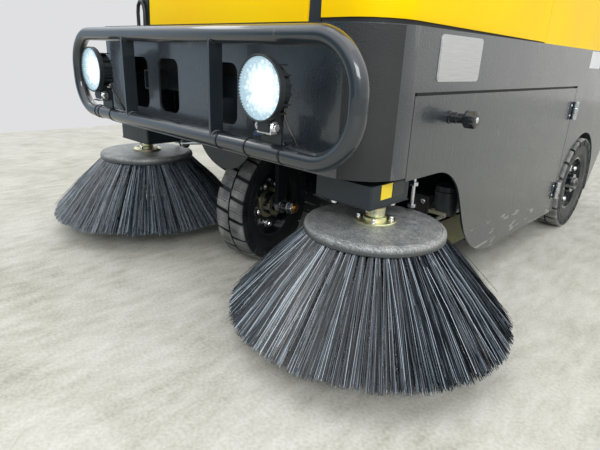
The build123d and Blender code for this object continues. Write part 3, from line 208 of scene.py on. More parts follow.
world = bpy.data.worlds.new("hall")
world.use_nodes = True
bpy.context.scene.world = world
hall = Recipe(world.node_tree)
direction = hall.node("TexCoord", output="Generated")
past_the_lamps = (0.44, 0.9, 0.0)
lean = hall.node(
    "VectorMath", {"operation": "DOT_PRODUCT"}, {0: direction, 1: past_the_lamps}, output=1,
)
horizon = hall.ramp(hall.rescale(lean, -1.0, 1.0, 0.0, 1.0), [
    (0.02, (0.06, 0.12, 0.17)), (0.08, (0.75, 0.9, 1.05)), (0.15, (0.42, 0.52, 0.62)),
    (0.28, (0.32, 0.42, 0.52)), (0.42, (0.55, 0.62, 0.68)), (0.72, (0.97, 0.96, 0.93)),
])
skylight = hall.rescale(hall.node("SeparateXYZ", None, {0: direction}, 2), 0.22, 0.62, 0.0, 1.0)
soft_light = hall.node("Background", None, {"Color": (0.96, 0.98, 1.0), "Strength": 0.95})
mirrored = hall.node("Background", None, {
    "Color": hall.blend(skylight, horizon, (0.98, 0.99, 1.0)), "Strength": skylight * 0.8 + 1.0,
})
seen = hall.node("Background", None, {"Color": (0.745, 0.745, 0.76), "Strength": 1.0})
lit_or_mirrored = hall.node("MixShader", None, {
    0: hall.node("LightPath", output="Is Glossy Ray"), 1: soft_light, 2: mirrored,
})
straight = hall.math(
    "MAXIMUM", hall.node("LightPath", output="Is Camera Ray"),
    hall.node("LightPath", output="Is Transmission Ray"),
)
whole = hall.node("MixShader", None, {0: straight, 1: lit_or_mirrored, 2: seen})
hall.feed(hall.nodes["World Output"].inputs["Surface"], whole)

lamp_rows = [
    # name, place, what it faces, length and width in metres, watts
    ("ceiling_lamp", (0.5, -0.7, 3.2), (0.5, -0.699, 0.0), (2.4, 2.4), 18.0),
    ("window_strip", (-2.9, -0.5, 2.9), (0.1, -0.7, 0.4), (3.4, 0.45), 14.0),
    ("front_lamp", (2.8, -2.8, 2.3), (0.5, -0.8, 0.3), (1.8, 1.1), 58.0),
]
for name, place, target, (length, width), watts in lamp_rows:
    lamp_data = bpy.data.lights.new(name, "AREA")
    lamp_data.shape = "RECTANGLE"
    lamp_data.size = length
    lamp_data.size_y = width
    lamp_data.energy = watts
    lamp = placed(name, lamp_data)
    lamp.location = place
    lamp.rotation_euler = (Vector(target) - Vector(place)).to_track_quat("-Z", "Y").to_euler()
    lamp.visible_camera = False


# Folded sheet steel of the tub, doors and quarter panels: laser-cut, folded and sprayed
# with a fine-grained charcoal powder coat that mirrors the room at a low angle. Frame,
# arms and tunnel have plainer black coats.
scuffed_below = 0.175
scuff_grey, scratch_grey = (0.16, 0.15, 0.14), (0.4, 0.39, 0.37)
# Near-black colour that is painted inside the tub's hollow as shade.
painted_shade_inside = (0.002, 0.003, 0.004)
tub_hollow = ((-0.5265, 0.5265), (-0.786, 0.95), (0.0, 0.633))


def dress(finish, *names):
    """Gives CAD nodes their finish."""
    for name in names:
        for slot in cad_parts[name].material_slots:
            slot.material = finish.material


def powder_coat(name, colour, roughness, grain, depth, shine=0.5, coat=0.0, hollow=()):
    """Sprayed coat, scuffed below knee height; inside the hollow its colour is painted near black
    as shade, rougher and without coat.
    """
    finish = Finish(
        name, {"IOR": 1.5, "Specular IOR Level": shine, "Coat Roughness": 0.12}, "frame_paint",
    )
    speck = finish.noise(grain, 3.0)
    streak = finish.noise(170.0, 2.0, (1.0, 1.0, 0.06))
    haze = finish.noise(6.0, 4.0)
    scuffs = (finish.noise(28.0, 6.0, (1.0, 1.0, 0.25)) > 0.69) * 0.25
    scratches = finish.noise(13.0, 9.0, (1.0, 1.0, 5.0)) > 0.6
    scratches = scratches * (finish.along(2) < scuffed_below)
    lighter = tuple(1.5 * part + 0.004 for part in colour)
    paint = finish.blend(scuffs, finish.blend(haze, colour, lighter), scuff_grey)
    paint = finish.blend(scratches * 0.5, paint, scratch_grey)
    rough = finish.spread(haze, roughness - 0.05, roughness + 0.06)
    weight = coat
    # Inside the tub's hollow the colour is painted near black: painted shade where little light
    # reaches.
    if hollow:
        behind = 1.0 - (finish.along(2) > hollow[2][1])
        for axis, (low, high) in enumerate(hollow):
            behind = behind * (finish.along(axis) > low) * (finish.along(axis) < high)
        paint = finish.blend(behind, paint, painted_shade_inside)
        rough = rough + behind * 0.5
        weight = (1.0 - behind) * coat
    return finish.set({
        "Base Color": paint, "Roughness": rough, "Coat Weight": weight,
        "Normal": finish.bump(speck + streak * 0.4, 0.8, depth),
    })


charcoal = powder_coat(
    "charcoal_powder_coat", (0.008, 0.014, 0.02), 0.27, 330.0, 0.0013, 0.9, 0.75, tub_hollow,
)
frame_black = powder_coat("frame_black_coat", (0.006, 0.01, 0.013), 0.34, 420.0, 0.0005)
arm_black = powder_coat("arm_coat", (0.01, 0.017, 0.022), 0.34, 380.0, 0.0006, 0.35)
gloss_black = powder_coat("tunnel_gloss", (0.005, 0.009, 0.012), 0.2, 90.0, 0.0008, 0.8, 0.9)
dress(
    charcoal, "chassis_tub", "quarter_panel_left", "quarter_panel_right",
    "service_door_left", "service_door_right", "hopper_door",
)
dress(frame_black, "frame_rails", "steering_fork", "rear_axle", "drive_motor", "cab_frame")
dress(arm_black, "left_brush_arm", "right_brush_arm")
dress(gloss_black, "brush_tunnel")

# Bumper loop: one bent 35 mm tube with two flat bars, welded together and coated glossy
# dark grey. Black nylon ties hold the lamp leads against the lower run.
mm = 0.001


class Form:
    """Points and faces of one piece in metres, gathered from turned, swept and boxed forms."""

    def __init__(self):
        self.points = []
        self.faces = []

    def loft(self, rings, closed=False):
        """Skin over rings of equal count: capped at both ends, or joined into a loop."""
        first, width, count = len(self.points), len(rings[0]), len(rings)
        for ring in rings:
            self.points += [tuple(point) for point in ring]
        for index in range(count if closed else count - 1):
            near, far = first + index * width, first + (index + 1) % count * width
            for step in range(width):
                following = (step + 1) % width
                self.faces.append((near + step, near + following, far + following, far + step))
        if not closed:
            last = first + (count - 1) * width
            self.faces.append(tuple(first + step for step in reversed(range(width))))
            self.faces.append(tuple(last + step for step in range(width)))
        return self

    def turned(self, centre, axis, profile, steps=32, closed=False, start=0.0, lobes=(0, 0.0)):
        """Turns points of (radius, distance along the axis) in millimetres round the axis."""
        centre = Vector(centre)
        turn = Vector(axis).to_track_quat("Z", "Y").to_matrix()
        rings = []
        for radius, along in profile:
            ring = []
            for step in range(steps):
                angle = start + 2 * pi * step / steps
                reach = radius * mm * (1 + lobes[1] * cos(lobes[0] * angle))
                spoke = Vector((reach * cos(angle), reach * sin(angle), along * mm))
                ring.append(centre + turn @ spoke)
            rings.append(ring)
        return self.loft(rings, closed)

    def slab(self, outline, origin, across, up, thickness):
        """A flat outline of (across, up) points, raised by its thickness."""
        origin, across, up = Vector(origin), Vector(across), Vector(up)
        out = across.cross(up).normalized() * thickness
        lower = [origin + across * a + up * b for a, b in outline]
        return self.loft([lower, [point + out for point in lower]])

    def box(self, low, high):
        """A block between two opposite corners."""
        outline = [(low[0], low[1]), (high[0], low[1]), (high[0], high[1]), (low[0], high[1])]
        return self.slab(outline, (0, 0, low[2]), (1, 0, 0), (0, 1, 0), high[2] - low[2])

    def swept(self, path, radius, sides=8, closed=False):
        """A round rod along a path of points, with flat ends."""
        path = [Vector(point) for point in path]
        count, side, rings = len(path), None, []
        for index, point in enumerate(path):
            before = path[index - 1] if index or closed else point
            after = path[(index + 1) % count] if index < count - 1 or closed else point
            ahead = (after - before).normalized()
            side = side or ahead.orthogonal().normalized()
            side = (side - ahead * side.dot(ahead)).normalized()
            up = ahead.cross(side)
            rings.append([
                point + (side * cos(angle) + up * sin(angle)) * radius
                for angle in (2 * pi * step / sides for step in range(sides))
            ])
        return self.loft(rings, closed)

    def bolt(self, place, axis, size):
        """A hexagon head on a washer; its size is in millimetres across its corners."""
        across, washer = size / 2, size * 0.1
        top = washer + size * 0.38
        self.turned(place, axis, [(across * 1.25, 0), (across * 1.25, washer)], 20)
        return self.turned(place, axis, [
            (across, washer), (across, top - 0.14 * size), (across * 0.84, top),
        ], 6)

    def piece(
        self, name, finish, body="chassis", slot=None, bevel=0.0, angle=35.0, replaced=(),
    ):
        """Makes the piece, with smooth faces up to an angle, and lets it ride on its body."""
        mesh = bpy.data.meshes.new(name)
        mesh.from_pydata(self.points, [], self.faces)
        mesh.materials.append(finish.material)
        mesh.validate()
        faces_outward = bmesh.new()
        faces_outward.from_mesh(mesh)
        bmesh.ops.recalc_face_normals(faces_outward, faces=faces_outward.faces)
        faces_outward.to_mesh(mesh)
        faces_outward.free()
        mesh.shade_smooth()
        mesh.set_sharp_from_angle(angle=radians(angle))
        made = placed(name, mesh)
        if bevel:
            edge = made.modifiers.new("edge", "BEVEL")
            edge.width = bevel
            edge.segments = 2
            edge.limit_method = "ANGLE"
            edge.angle_limit = radians(40.0)
        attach(made, body)
        for node in replaced:
            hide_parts(node)
        return made


def mottled(name, slot, sockets, scale, dark, light, detail=2.0, relief=None):
    """A finish that drifts from a dark to a light tone; relief is its bump's two values."""
    finish = Finish(name, sockets, slot)
    drift = finish.noise(scale, detail)
    if relief:
        finish.set({"Normal": finish.bump(drift, *relief)})
    return finish.set({"Base Color": finish.blend(drift, dark, light)})


bumper_gloss = powder_coat(
    "bumper_gloss_coat", (0.009, 0.014, 0.019), 0.36, 240.0, 0.0004, 0.35, 1.0,
)
bumper_gloss.set({"Coat Roughness": 0.06})
dress(bumper_gloss, "front_bumper", "rear_bumper")
bumper_y = -0.841
bumper_heights = (0.4, 0.611)
bumper_tube = 0.0175
bar_places = (-0.218, 0.155)
bar_half, drop_half = 0.0036, 0.004
foot_places = (-0.3, 0.075, 0.3)
foot_y = -0.7895
bead_radius = 0.00234
weld_arc = [radians(-62 + 124 * step / 18) for step in range(19)]
weld_drop = [(2.6, -1), (2.86, 0.6), (1.3, 2)]
foot_weld = [(11.5, 0), (15.5, 0), (14.5, 2.5), (11.5, 3.8)]


def round_the_tube(place, height, towards, angle):
    """A point on the skin of a bumper tube, at an angle from its top or underside."""
    return place, bumper_y + bumper_tube * sin(angle), height + towards * bumper_tube * cos(angle)


welds = Form()
for height, towards in zip(bumper_heights, (1, -1)):
    for place in bar_places:
        for side in (-1, 1):
            bead = place + side * bar_half
            drop = place + side * drop_half
            welds.swept(
                [round_the_tube(bead, height, towards, angle) for angle in weld_arc],
                bead_radius, 6,
            )
            for angle in weld_arc[1::2]:
                centre = round_the_tube(drop, height, towards, angle)
                welds.turned(centre, (side, 0, 0), weld_drop, 8)
    for place in foot_places:
        welds.turned((place, foot_y, height), (0, -1, 0), foot_weld, 20, closed=True)
welds.piece("bumper_welds", bumper_gloss)

nylon = mottled(
    "black_nylon", "black_rubber", {"Roughness": 0.35}, 700.0, (0.004, 0.004, 0.005),
    (0.012, 0.013, 0.014), relief=(0.2, 0.0002),
)
tie_places = (-0.412, -0.392, -0.32, 0.176, 0.268, 0.367)
tie_band = [(17.3, -1.8), (18.9, -1.8), (18.9, 1.8), (17.3, 1.8)]
tie_head = [(4, -0.8), (4.2, 3), (3, 4.2)]
ties = Form()
for index, place in enumerate(tie_places):
    centre = (place, bumper_y, bumper_heights[0])
    ties.turned(centre, (1, 0.06 * (index % 3 - 1), 0), tie_band, 40, closed=True)
    head_angle = radians(14 * index - 28)
    out = Vector((0, cos(head_angle), sin(head_angle)))
    head = Vector(centre) + out * (bumper_tube + 0.001)
    ties.turned(head, out, tie_head, 4, start=pi / 4)
    ties.swept([
        head + out * 0.001, head + out * 0.007 + Vector((0.001, 0.0, 0.0)),
        head + out * 0.009 + Vector((0.005, 0.001, 0.0)),
    ], 0.0009, 4)
ties.piece("bumper_ties", nylon)

# Work lamps: cast black housings with cooling fins, nine lit optics under a clear cover,
# hung in zinc-plated straps on bolts. Both are switched on.
cast_black = powder_coat("cast_black", (0.008, 0.011, 0.014), 0.4, 600.0, 0.0005)
dress(cast_black, "headlamp_housings")
zinc = Finish("bright_zinc", {"Metallic": 1.0}, "zinc_steel")
zinc_wear = zinc.noise(90.0, 3.0)
zinc.set({
    "Base Color": zinc.ramp(zinc_wear, [(0.3, (0.6, 0.62, 0.65)), (0.7, (0.92, 0.93, 0.95))]),
    "Roughness": zinc.spread(zinc_wear, 0.32, 0.16),
})
lamp_x, lamp_z = 0.344, 0.519
lamp_front_y = -0.886
lens_radius = 0.0547
cup_circle = 0.0345
glow_shift = 0.01
lamp_glow = Finish("lamp_glow", {"Roughness": 0.3, "Emission Strength": 1.0}, "lamp_lens")
glow_x = abs(lamp_glow.along(0) - glow_shift) - lamp_x
glow_z = lamp_glow.along(2) - lamp_z
glow_reach = (glow_x * glow_x + glow_z * glow_z) ** 0.5 / lens_radius
glow_cells = lamp_glow.cells(110.0)
glow_tone = lamp_glow.ramp(glow_reach + (glow_cells - 0.35) * 0.55, [
    (0.55, (1.0, 1.0, 1.0)), (0.72, (0.8, 0.92, 0.96)), (0.9, (0.48, 0.67, 0.75)),
    (1.0, (0.24, 0.4, 0.48)),
])
lamp_glow.set({
    "Base Color": lamp_glow.blend(glow_cells, (0.05, 0.07, 0.09), (0.2, 0.25, 0.28)),
    "Emission Color": glow_tone,
})
clear_cover = Finish(
    "lamp_cover", {"Base Color": (0.9, 0.95, 1.0), "Roughness": 0.05, "IOR": 1.5}, "lamp_lens",
)
clear_cover.set({"Alpha": clear_cover.spread(clear_cover.noise(30.0), 0.08, 0.16)})
cup_profile = [(11.5, -1.6), (11.8, 0), (10.4, 0.2), (5, -1.2), (2.6, 0.2), (0.8, 0.6)]
bezel_profile = [(55.6, -0.8), (58.3, -3), (58.3, 1), (57.4, 2.2), (56.2, 2.2), (55, 1)]
cover_profile = [
    (16.41, 1.4), (49.23, 0.4), (54.7, -0.6), (54.7, 0.4), (50.871, 1.2), (32.82, 2.4),
    (16.41, 2.9),
]
bead_count = 60
bead_circle = 0.0532
optics, covers, bezels = Form(), Form(), Form()
for side in (-1, 1):
    centre = (side * lamp_x, lamp_front_y, lamp_z)
    optics.turned(centre, (0, -1, 0), [(54.7, -3.6), (54.7, -1.6)], 48)
    cups = [(0.0, 0.0)] + [
        (cup_circle * cos(2 * pi * step / 8), cup_circle * sin(2 * pi * step / 8))
        for step in range(8)
    ]
    for cup_x, cup_z in cups:
        cup_centre = (centre[0] + cup_x, lamp_front_y, lamp_z + cup_z)
        optics.turned(cup_centre, (0, -1, 0), cup_profile, 18)
    covers.turned(centre, (0, -1, 0), cover_profile, 48, closed=True)
    bezels.turned(centre, (0, -1, 0), bezel_profile, 64, closed=True)
    for step in range(bead_count):
        angle = 2 * pi * step / bead_count
        spot = Vector(centre) + Vector((cos(angle), 0.0, sin(angle))) * bead_circle
        optics.turned(spot, (0, -1, 0), [(1.3, -0.4), (1.1, 1.8)], 4, start=angle)
optics.piece("lamp_optics", lamp_glow, replaced=["headlamp_lenses"])
covers.piece("lamp_covers", clear_cover)
bezels.piece("lamp_bezels", cast_black, slot="black_plastic")

strap_y = lamp_front_y + 0.022
strap_foot_z, strap_bolt_z = 0.4388, 0.452
strap_half, strap_gauge = 0.0192, 0.0036
strap_floor, strap_top = 0.0034, 0.0215
strap_width = 0.0168
strap_inside = strap_half - strap_gauge
strap_outline = [
    (-strap_half, 0.0), (strap_half, 0.0), (strap_half, strap_top), (strap_inside, strap_top),
    (strap_inside, strap_floor), (-strap_inside, strap_floor), (-strap_inside, strap_top),
    (-strap_half, strap_top),
]
straps, strap_bolts = Form(), Form()
for side in (-1, 1):
    middle = side * lamp_x
    foot = (middle, strap_y + strap_width / 2, strap_foot_z)
    straps.slab(strap_outline, foot, (1, 0, 0), (0, 0, 1), strap_width)
    for way in (-1, 1):
        bolt_seat = (middle + way * strap_half, strap_y, strap_bolt_z)
        strap_bolts.bolt(bolt_seat, (way, 0, 0), 17)
straps.piece("lamp_straps", zinc, bevel=0.0007)
strap_bolts.piece("lamp_strap_bolts", zinc, bevel=0.0003)

# Lamp leads: two-core black cable that leaves the elbow behind each lamp, hangs in one
# easy bend beside the bracket and enters the fascia behind the lower tube.
lead_sheath = mottled(
    "lead_sheath", "black_rubber",
    {"Roughness": 0.16, "Specular IOR Level": 1.0, "Coat Weight": 1.0}, 300.0,
    (0.006, 0.006, 0.007), (0.016, 0.016, 0.018),
)
lead_route = (
    (0.022, -0.842, 0.486), (0.022, -0.842, 0.472), (0.027, -0.837, 0.455),
    (0.032, -0.829, 0.437), (0.033, -0.819, 0.419), (0.03, -0.81, 0.404),
    (0.026, -0.802, 0.395), (0.026, -0.793, 0.395),
)
both_sides = ((1, "left"), (-1, "right"))
for side, side_name in both_sides:
    lead_curve = bpy.data.curves.new(f"lamp_lead_{side_name}", "CURVE")
    lead_curve.dimensions = "3D"
    lead_curve.bevel_depth = 0.0025
    lead_curve.bevel_resolution = 3
    lead_curve.use_fill_caps = True
    strand = lead_curve.splines.new("NURBS")
    strand.points.add(len(lead_route) - 1)
    for point, (beside, back, height) in zip(strand.points, lead_route):
        point.co = (side * lamp_x + beside, back, height, 1.0)
    strand.order_u = 3
    strand.use_endpoint_u = True
    lead_curve.materials.append(lead_sheath.material)
    lead = placed(f"lamp_lead_{side_name}", lead_curve)
    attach(lead, "chassis")
    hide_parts("lamp_leads")

# Side brushes: a moulded grey disc on a yellow-zinc hub flange, with tufts of crimped
# black filament set round its rim that fan out to the floor.
brush_x, brush_y = 0.469, -0.67
disc_grey = Finish("disc_plastic", {"IOR": 1.45, "Specular IOR Level": 0.8}, "grey_plastic")
disc_mottle = disc_grey.noise(34.0, 6.0)
disc_scratch = disc_grey.noise(90.0, 3.0, (1.0, 7.0, 1.0))
disc_grain = disc_grey.noise(420.0, 2.0)
disc_tone = disc_mottle * 0.24 + disc_scratch * 0.36 + disc_grain * 0.4
# The rim below the disc's top face is painted dark as shade; the top keeps mottled, scratched grey
# tones.
disc_unshaded_top = disc_grey.rescale(disc_grey.along(2), 0.244, 0.253, 0.0, 1.0)
disc_top_tones = disc_grey.ramp(disc_tone, [
    (0.36, (0.06, 0.07, 0.072)), (0.46, (0.17, 0.185, 0.185)), (0.55, (0.32, 0.33, 0.32)),
    (0.66, (0.62, 0.62, 0.59)),
])
disc_grey.set({
    "Base Color": disc_grey.blend(disc_unshaded_top, (0.045, 0.052, 0.055), disc_top_tones),
    "Roughness": disc_grey.spread(disc_scratch, 0.26, 0.44),
    "Normal": disc_grey.bump(disc_tone, 0.6, 0.0022),
})
yellow_zinc = Finish("yellow_zinc", {"Metallic": 1.0}, "zinc_steel")
passivate = yellow_zinc.noise(75.0, 2.0)
yellow_zinc.set({
    "Base Color": yellow_zinc.ramp(passivate, [
        (0.32, (0.74, 0.6, 0.3)), (0.44, (0.82, 0.76, 0.5)), (0.52, (0.66, 0.78, 0.48)),
        (0.6, (0.84, 0.74, 0.48)), (0.7, (0.86, 0.58, 0.52)),
    ]),
    "Roughness": yellow_zinc.spread(passivate, 0.34, 0.48),
})


def filament_with_painted_highlights(name, black_share, sheen):
    """Black filament, with a random share of its strands painted bluish grey to near white as
    painted highlights.
    """
    finish = Finish(name, {"IOR": 1.5, "Specular IOR Level": sheen}, "black_bristle")
    highlight_pick = finish.node("NewGeometry", output="Random Per Island")
    rest = 1.0 - black_share
    # Strands beyond the black share get painted highlight tones, lighter and bluer step by step.
    return finish.set({
        "Base Color": finish.ramp(highlight_pick, [
            (0.0, (0.002, 0.003, 0.005)), (black_share, (0.006, 0.009, 0.013)),
            (black_share + 0.38 * rest, (0.04, 0.055, 0.07)),
            (black_share + 0.72 * rest, (0.2, 0.25, 0.3)), (1.0, (0.52, 0.59, 0.66)),
        ]),
        "Roughness": finish.spread(finish.noise(60.0), 0.24, 0.38),
    })


# One black filament in a lit and a shaded painted copy: the right brush has more and brighter
# painted highlight strands, the left more black ones.
left_filament_painted_darker = filament_with_painted_highlights("left_filament_painted_darker", 0.58, 0.7)
right_filament_painted_lighter = filament_with_painted_highlights("right_filament_painted_lighter", 0.28, 1.0)
inner_filament = Finish(
    "inner_filament", {"IOR": 1.5, "Specular IOR Level": 0.5}, "black_bristle",
)
# Light specks on the black inner strands are painted glints on their crimps.
painted_crimp_glints = (inner_filament.noise(520.0, 2.0) > 0.6) * 0.8
inner_filament.set({
    "Base Color": inner_filament.blend(painted_crimp_glints, (0.003, 0.004, 0.005), (0.36, 0.39, 0.42)),
    "Roughness": inner_filament.spread(inner_filament.noise(60.0), 0.3, 0.45),
})
disc_profile = [
    (140, 236), (145.5, 236.5), (148, 239.5), (148.4, 246), (147, 252), (143.5, 255.6),
    (139, 256.6), (137.5, 255.6), (136, 257), (112, 258.2), (46, 259),
]
flange_profile = [
    (43, 258.6), (44.2, 260), (44.2, 263.8), (43, 265), (25, 265), (24.6, 270), (22.2, 272.5),
    (20.2, 273), (20.2, 291.5), (19, 292.5), (12.3, 292.5), (12.3, 303.6),
]
stud_circle, stud_foot_z = 0.034, 0.265
stud_profile = [(6.2, 0), (6.2, 1), (4.4, 1.2), (4.4, 6.2), (3.4, 7.6)]
hub_nut_profile = [(20, 278), (22.2, 278.8), (22.2, 285), (20, 285.8)]
root_z = 0.2385
tuft_rows = [
    # layer, tufts, root radius, tip radius, tip height, filaments in a tuft, waves, thickness
    ("outer", 64, 0.1392, 0.2965, 0.058, 88, 0, 0.00052),
    ("inner", 64, 0.131, 0.287, 0.058, 24, 5, 0.00068),
    ("inner", 50, 0.116, 0.266, 0.059, 22, 0, 0.00075),
    ("inner", 40, 0.098, 0.24, 0.06, 20, 0, 0.0008),
]
most_reach = 0.3042
root_fill, tip_fill = 0.64, 0.9  # share of a tuft's sector that its strands take up
row_depth, tip_depth, tip_scatter = 0.004, 0.006, 0.004
tuft_shift, tuft_lift, tuft_twist = 0.08, 0.003, 0.018
stray_share, stray_spread, stray_lift = 0.05, 0.035, 0.012
strand_spread, strand_lift = 0.014, 0.004
crimp = 0.0016


def around(centre, radius, angle, height):
    """A point at an angle round an upright axis."""
    return Vector((centre[0] + radius * cos(angle), centre[1] + radius * sin(angle), height))


def bristle_fan(centre, chosen, seed):
    """One layer of filaments of a side brush, tuft by tuft from the rim inwards."""
    draw = random.Random(seed)
    fan = Form()
    for layer, tufts, root_radius, tip_radius, tip_height, count, waves, thickness in tuft_rows:
        if layer != chosen:
            continue
        for tuft in range(tufts):
            middle = 2 * pi * (tuft + draw.uniform(-tuft_shift, tuft_shift)) / tufts
            half = pi / tufts
            lift = abs(draw.gauss(0.0, tuft_lift))
            twist = draw.gauss(0.0, tuft_twist)
            for strand in range(count):
                share, depth = draw.uniform(-1.0, 1.0), draw.uniform(-1.0, 1.0)
                stray = draw.random() < stray_share
                root_angle = middle + share * half * root_fill
                spread = draw.gauss(0.0, stray_spread if stray else strand_spread)
                tip_angle = middle + twist + share * half * tip_fill + spread
                root_reach = root_radius + depth * row_depth
                tip_reach = tip_radius + depth * tip_depth + draw.gauss(0.0, tip_scatter)
                tip_reach = min(tip_reach, most_reach)
                rise = abs(draw.gauss(0.0, stray_lift if stray else strand_lift))
                tip_z = tip_height + lift + rise
                root = around(centre, root_reach, root_angle, root_z)
                tip = around(centre, tip_reach, tip_angle, tip_z)
                bow = Vector((cos(middle), sin(middle), 1.0)) * draw.uniform(-0.001, 0.004)
                sideways = Vector((-sin(middle), cos(middle), 0.0)) * crimp
                bends = max(2, 2 * waves)
                phase = draw.choice((-1, 1))
                path = []
                for step in range(bends + 1):
                    along = step / bends
                    wave = sideways * (phase * (-1) ** step if waves and 0 < step < bends else 0)
                    path.append(root.lerp(tip, along) + bow * sin(pi * along) + wave)
                fan.swept(path, thickness * draw.uniform(0.85, 1.15), 3)
    return fan


for side, side_name in both_sides:
    body = f"{side_name}_brush"
    centre = (side * brush_x, brush_y, 0.0)
    Form().turned(centre, (0, 0, 1), disc_profile, 96).piece(
        f"{side_name}_disc", disc_grey, body, replaced=[f"{side_name}_brush_disc"],
    )
    Form().turned(centre, (0, 0, 1), flange_profile, 48).piece(
        f"{side_name}_hub_flange", yellow_zinc, body, replaced=[f"{side_name}_brush_disc"],
    )
    studs = Form()
    for step in range(4):
        spot = around(centre, stud_circle, radians(30 + 90 * step), stud_foot_z)
        studs.turned(spot, (0, 0, 1), stud_profile, 12)
    studs.turned(centre, (0, 0, 1), hub_nut_profile, 6, closed=True)
    studs.piece(f"{side_name}_hub_bolts", zinc, body)
    outer_filament = left_filament_painted_darker if side > 0 else right_filament_painted_lighter
    for layer, finish, seed in (("outer", outer_filament, 11), ("inner", inner_filament, 23)):
        bristle_fan(centre, layer, seed + side).piece(
            f"{side_name}_bristles_{layer}", finish, body, angle=80.0,
            replaced=[f"{side_name}_brush_bristles"],
        )

# Motor boxes over the side brushes: folded covers on a shallow tray, held by bolts from
# below, with a warning-yellow and a dark sticker on the left one, both left blank.
sticker_yellow = mottled(
    "sticker_yellow", "yellow_panel", {"Roughness": 0.35}, 60.0, (0.9, 0.66, 0.01),
    (0.98, 0.74, 0.02),
)
sticker_dark = mottled(
    "sticker_dark", "black_plastic", {"Roughness": 0.2}, 80.0, (0.01, 0.013, 0.016),
    (0.03, 0.035, 0.04),
)
chrome = Finish("hinge_chrome", {"Metallic": 1.0}, "zinc_steel")
chrome_wear = chrome.noise(50.0, 3.0)
chrome.set({
    "Base Color": chrome.blend(chrome_wear, (0.42, 0.45, 0.48), (0.7, 0.72, 0.75)),
    "Roughness": chrome.spread(chrome_wear, 0.1, 0.24),
})
box_rows = [
    # side, name, inner and outer end of the box, shift of the bolts
    (1, "left", 0.363, 0.505, 0.0), (-1, "right", 0.328, 0.49, -0.02),
]
tray_front, tray_rear = -0.744, -0.608
tray_z, tray_gauge, tray_lap = 0.303, 0.0024, 0.001
bolt_places = ((0.411, -0.736), (0.497, -0.655), (0.44, -0.618), (0.385, -0.65))
tray_bolt = [(7.8, 0), (7.8, 1.2), (5.8, 1.4), (5.8, 5), (4.2, 6.4)]
for side, side_name, inner_x, outer_x, shift in box_rows:
    body = f"{side_name}_arm"
    low_x, high_x = sorted((side * inner_x, side * outer_x))
    tray = [
        (low_x - tray_lap, tray_front), (high_x + tray_lap, tray_front),
        (high_x + tray_lap, tray_rear), (low_x - tray_lap, tray_rear),
    ]
    Form().slab(tray, (0, 0, tray_z), (1, 0, 0), (0, 1, 0), tray_gauge).piece(
        f"{side_name}_motor_tray", cast_black, body, bevel=0.0006,
    )
    under = Form()
    for x, y in bolt_places:
        under.turned((side * (x + shift), y, 0.3032), (0, 0, -1), tray_bolt, 12)
    under.piece(f"{side_name}_motor_bolts", zinc, body)
    rod_x, rod_y = side * 0.48, -0.547
    Form().swept([(rod_x, rod_y, 0.268), (rod_x, rod_y, 0.352)], 0.0042, 14).turned(
        (rod_x, rod_y, 0.318), (0, 0, 1), [(10, 0), (10, 8.5)], 6,
    ).turned(
        (rod_x, rod_y, 0.268), (0, 0, 1), [(9.5, 0), (9.5, 8)], 6,
    ).piece(f"{side_name}_lift_rod", chrome, body, bevel=0.0004)
sticker_x, sticker_film = 0.505, 0.0004
for name, finish, (front, rear), (low_z, high_z) in (
    ("sticker_warning_blank", sticker_yellow, (-0.71, -0.673), (0.319, 0.349)),
    ("sticker_dark_blank", sticker_dark, (-0.67, -0.63), (0.318, 0.348)),
):
    Form().box((sticker_x, front, low_z), (sticker_x + sticker_film, rear, high_z)).piece(
        name, finish, "left_arm",
    )

# Wheels: solid press-on tyres with two rows of blocks and shoulder lugs, on dished rims
# that are bolted to their hubs. The tread faces carry floor dust, the walls stay black.
tread_edge = 0.1676


def worn_rubber(name, face_tones, sheen, centre=None):
    """Black rubber; with a wheel's centre given, only the treading face has these tones."""
    finish = Finish(name, {"IOR": 1.45, "Specular IOR Level": sheen}, "tyre_rubber")
    dust = finish.noise(22.0, 5.0)
    grain = finish.noise(420.0, 3.0)
    mottle = dust * 0.6 + grain * 0.4
    tone = finish.ramp(mottle, [*zip((0.34, 0.5, 0.66), face_tones)])
    if centre:
        reach = 0.0
        for axis, middle in enumerate(centre):
            offset = finish.along(axis) - middle
            reach = offset * offset + reach
        black = finish.ramp(mottle, [(0.4, (0.004, 0.007, 0.009)), (0.66, (0.022, 0.027, 0.03))])
        tone = finish.blend(reach > tread_edge ** 2, black, tone)
    return finish.set({
        "Base Color": tone, "Roughness": finish.spread(dust, 0.42, 0.75),
        "Normal": finish.bump(mottle, 0.4, 0.0016),
    })


tread_tones = ((0.03, 0.033, 0.034), (0.105, 0.11, 0.11), (0.27, 0.27, 0.26))
dusty_tones = ((0.08, 0.082, 0.08), (0.2, 0.2, 0.195), (0.36, 0.36, 0.35))
wall_rubber = worn_rubber(
    "wall_rubber", ((0.003, 0.005, 0.007), (0.007, 0.011, 0.013), (0.024, 0.029, 0.032)), 0.5,
)
dusty_wall = worn_rubber(
    "dusty_wall", ((0.02, 0.022, 0.022), (0.05, 0.052, 0.051), (0.13, 0.13, 0.125)), 0.5,
)
rim_black = powder_coat("rim_black", (0.003, 0.006, 0.008), 0.24, 500.0, 0.0003, 0.7, 0.4)
rim_gloss = powder_coat("rim_gloss", (0.006, 0.009, 0.011), 0.14, 60.0, 0.001, 1.0, 1.0)
upright = Vector((0, 0, 1))
tread_count = 18
row_stagger, groove_slant = 0.22, 1.5
sipe_drop, sipe_start, sipe_end = 0.0012, 0.008, 0.03
carcass = [
    (97.5, -33), (104, -37.5), (112, -40.2), (129, -42.5), (140, -41.2), (154, -40.8), (159, -38),
    (159.6, 0), (159, 38), (154, 40.8), (140, 41.2), (129, 42.5), (112, 40.2), (104, 37.5),
    (97.5, 33),
]
wall_ribs = ((108.5, 0.0391), (133, 0.0421))
nut_circle = 0.064
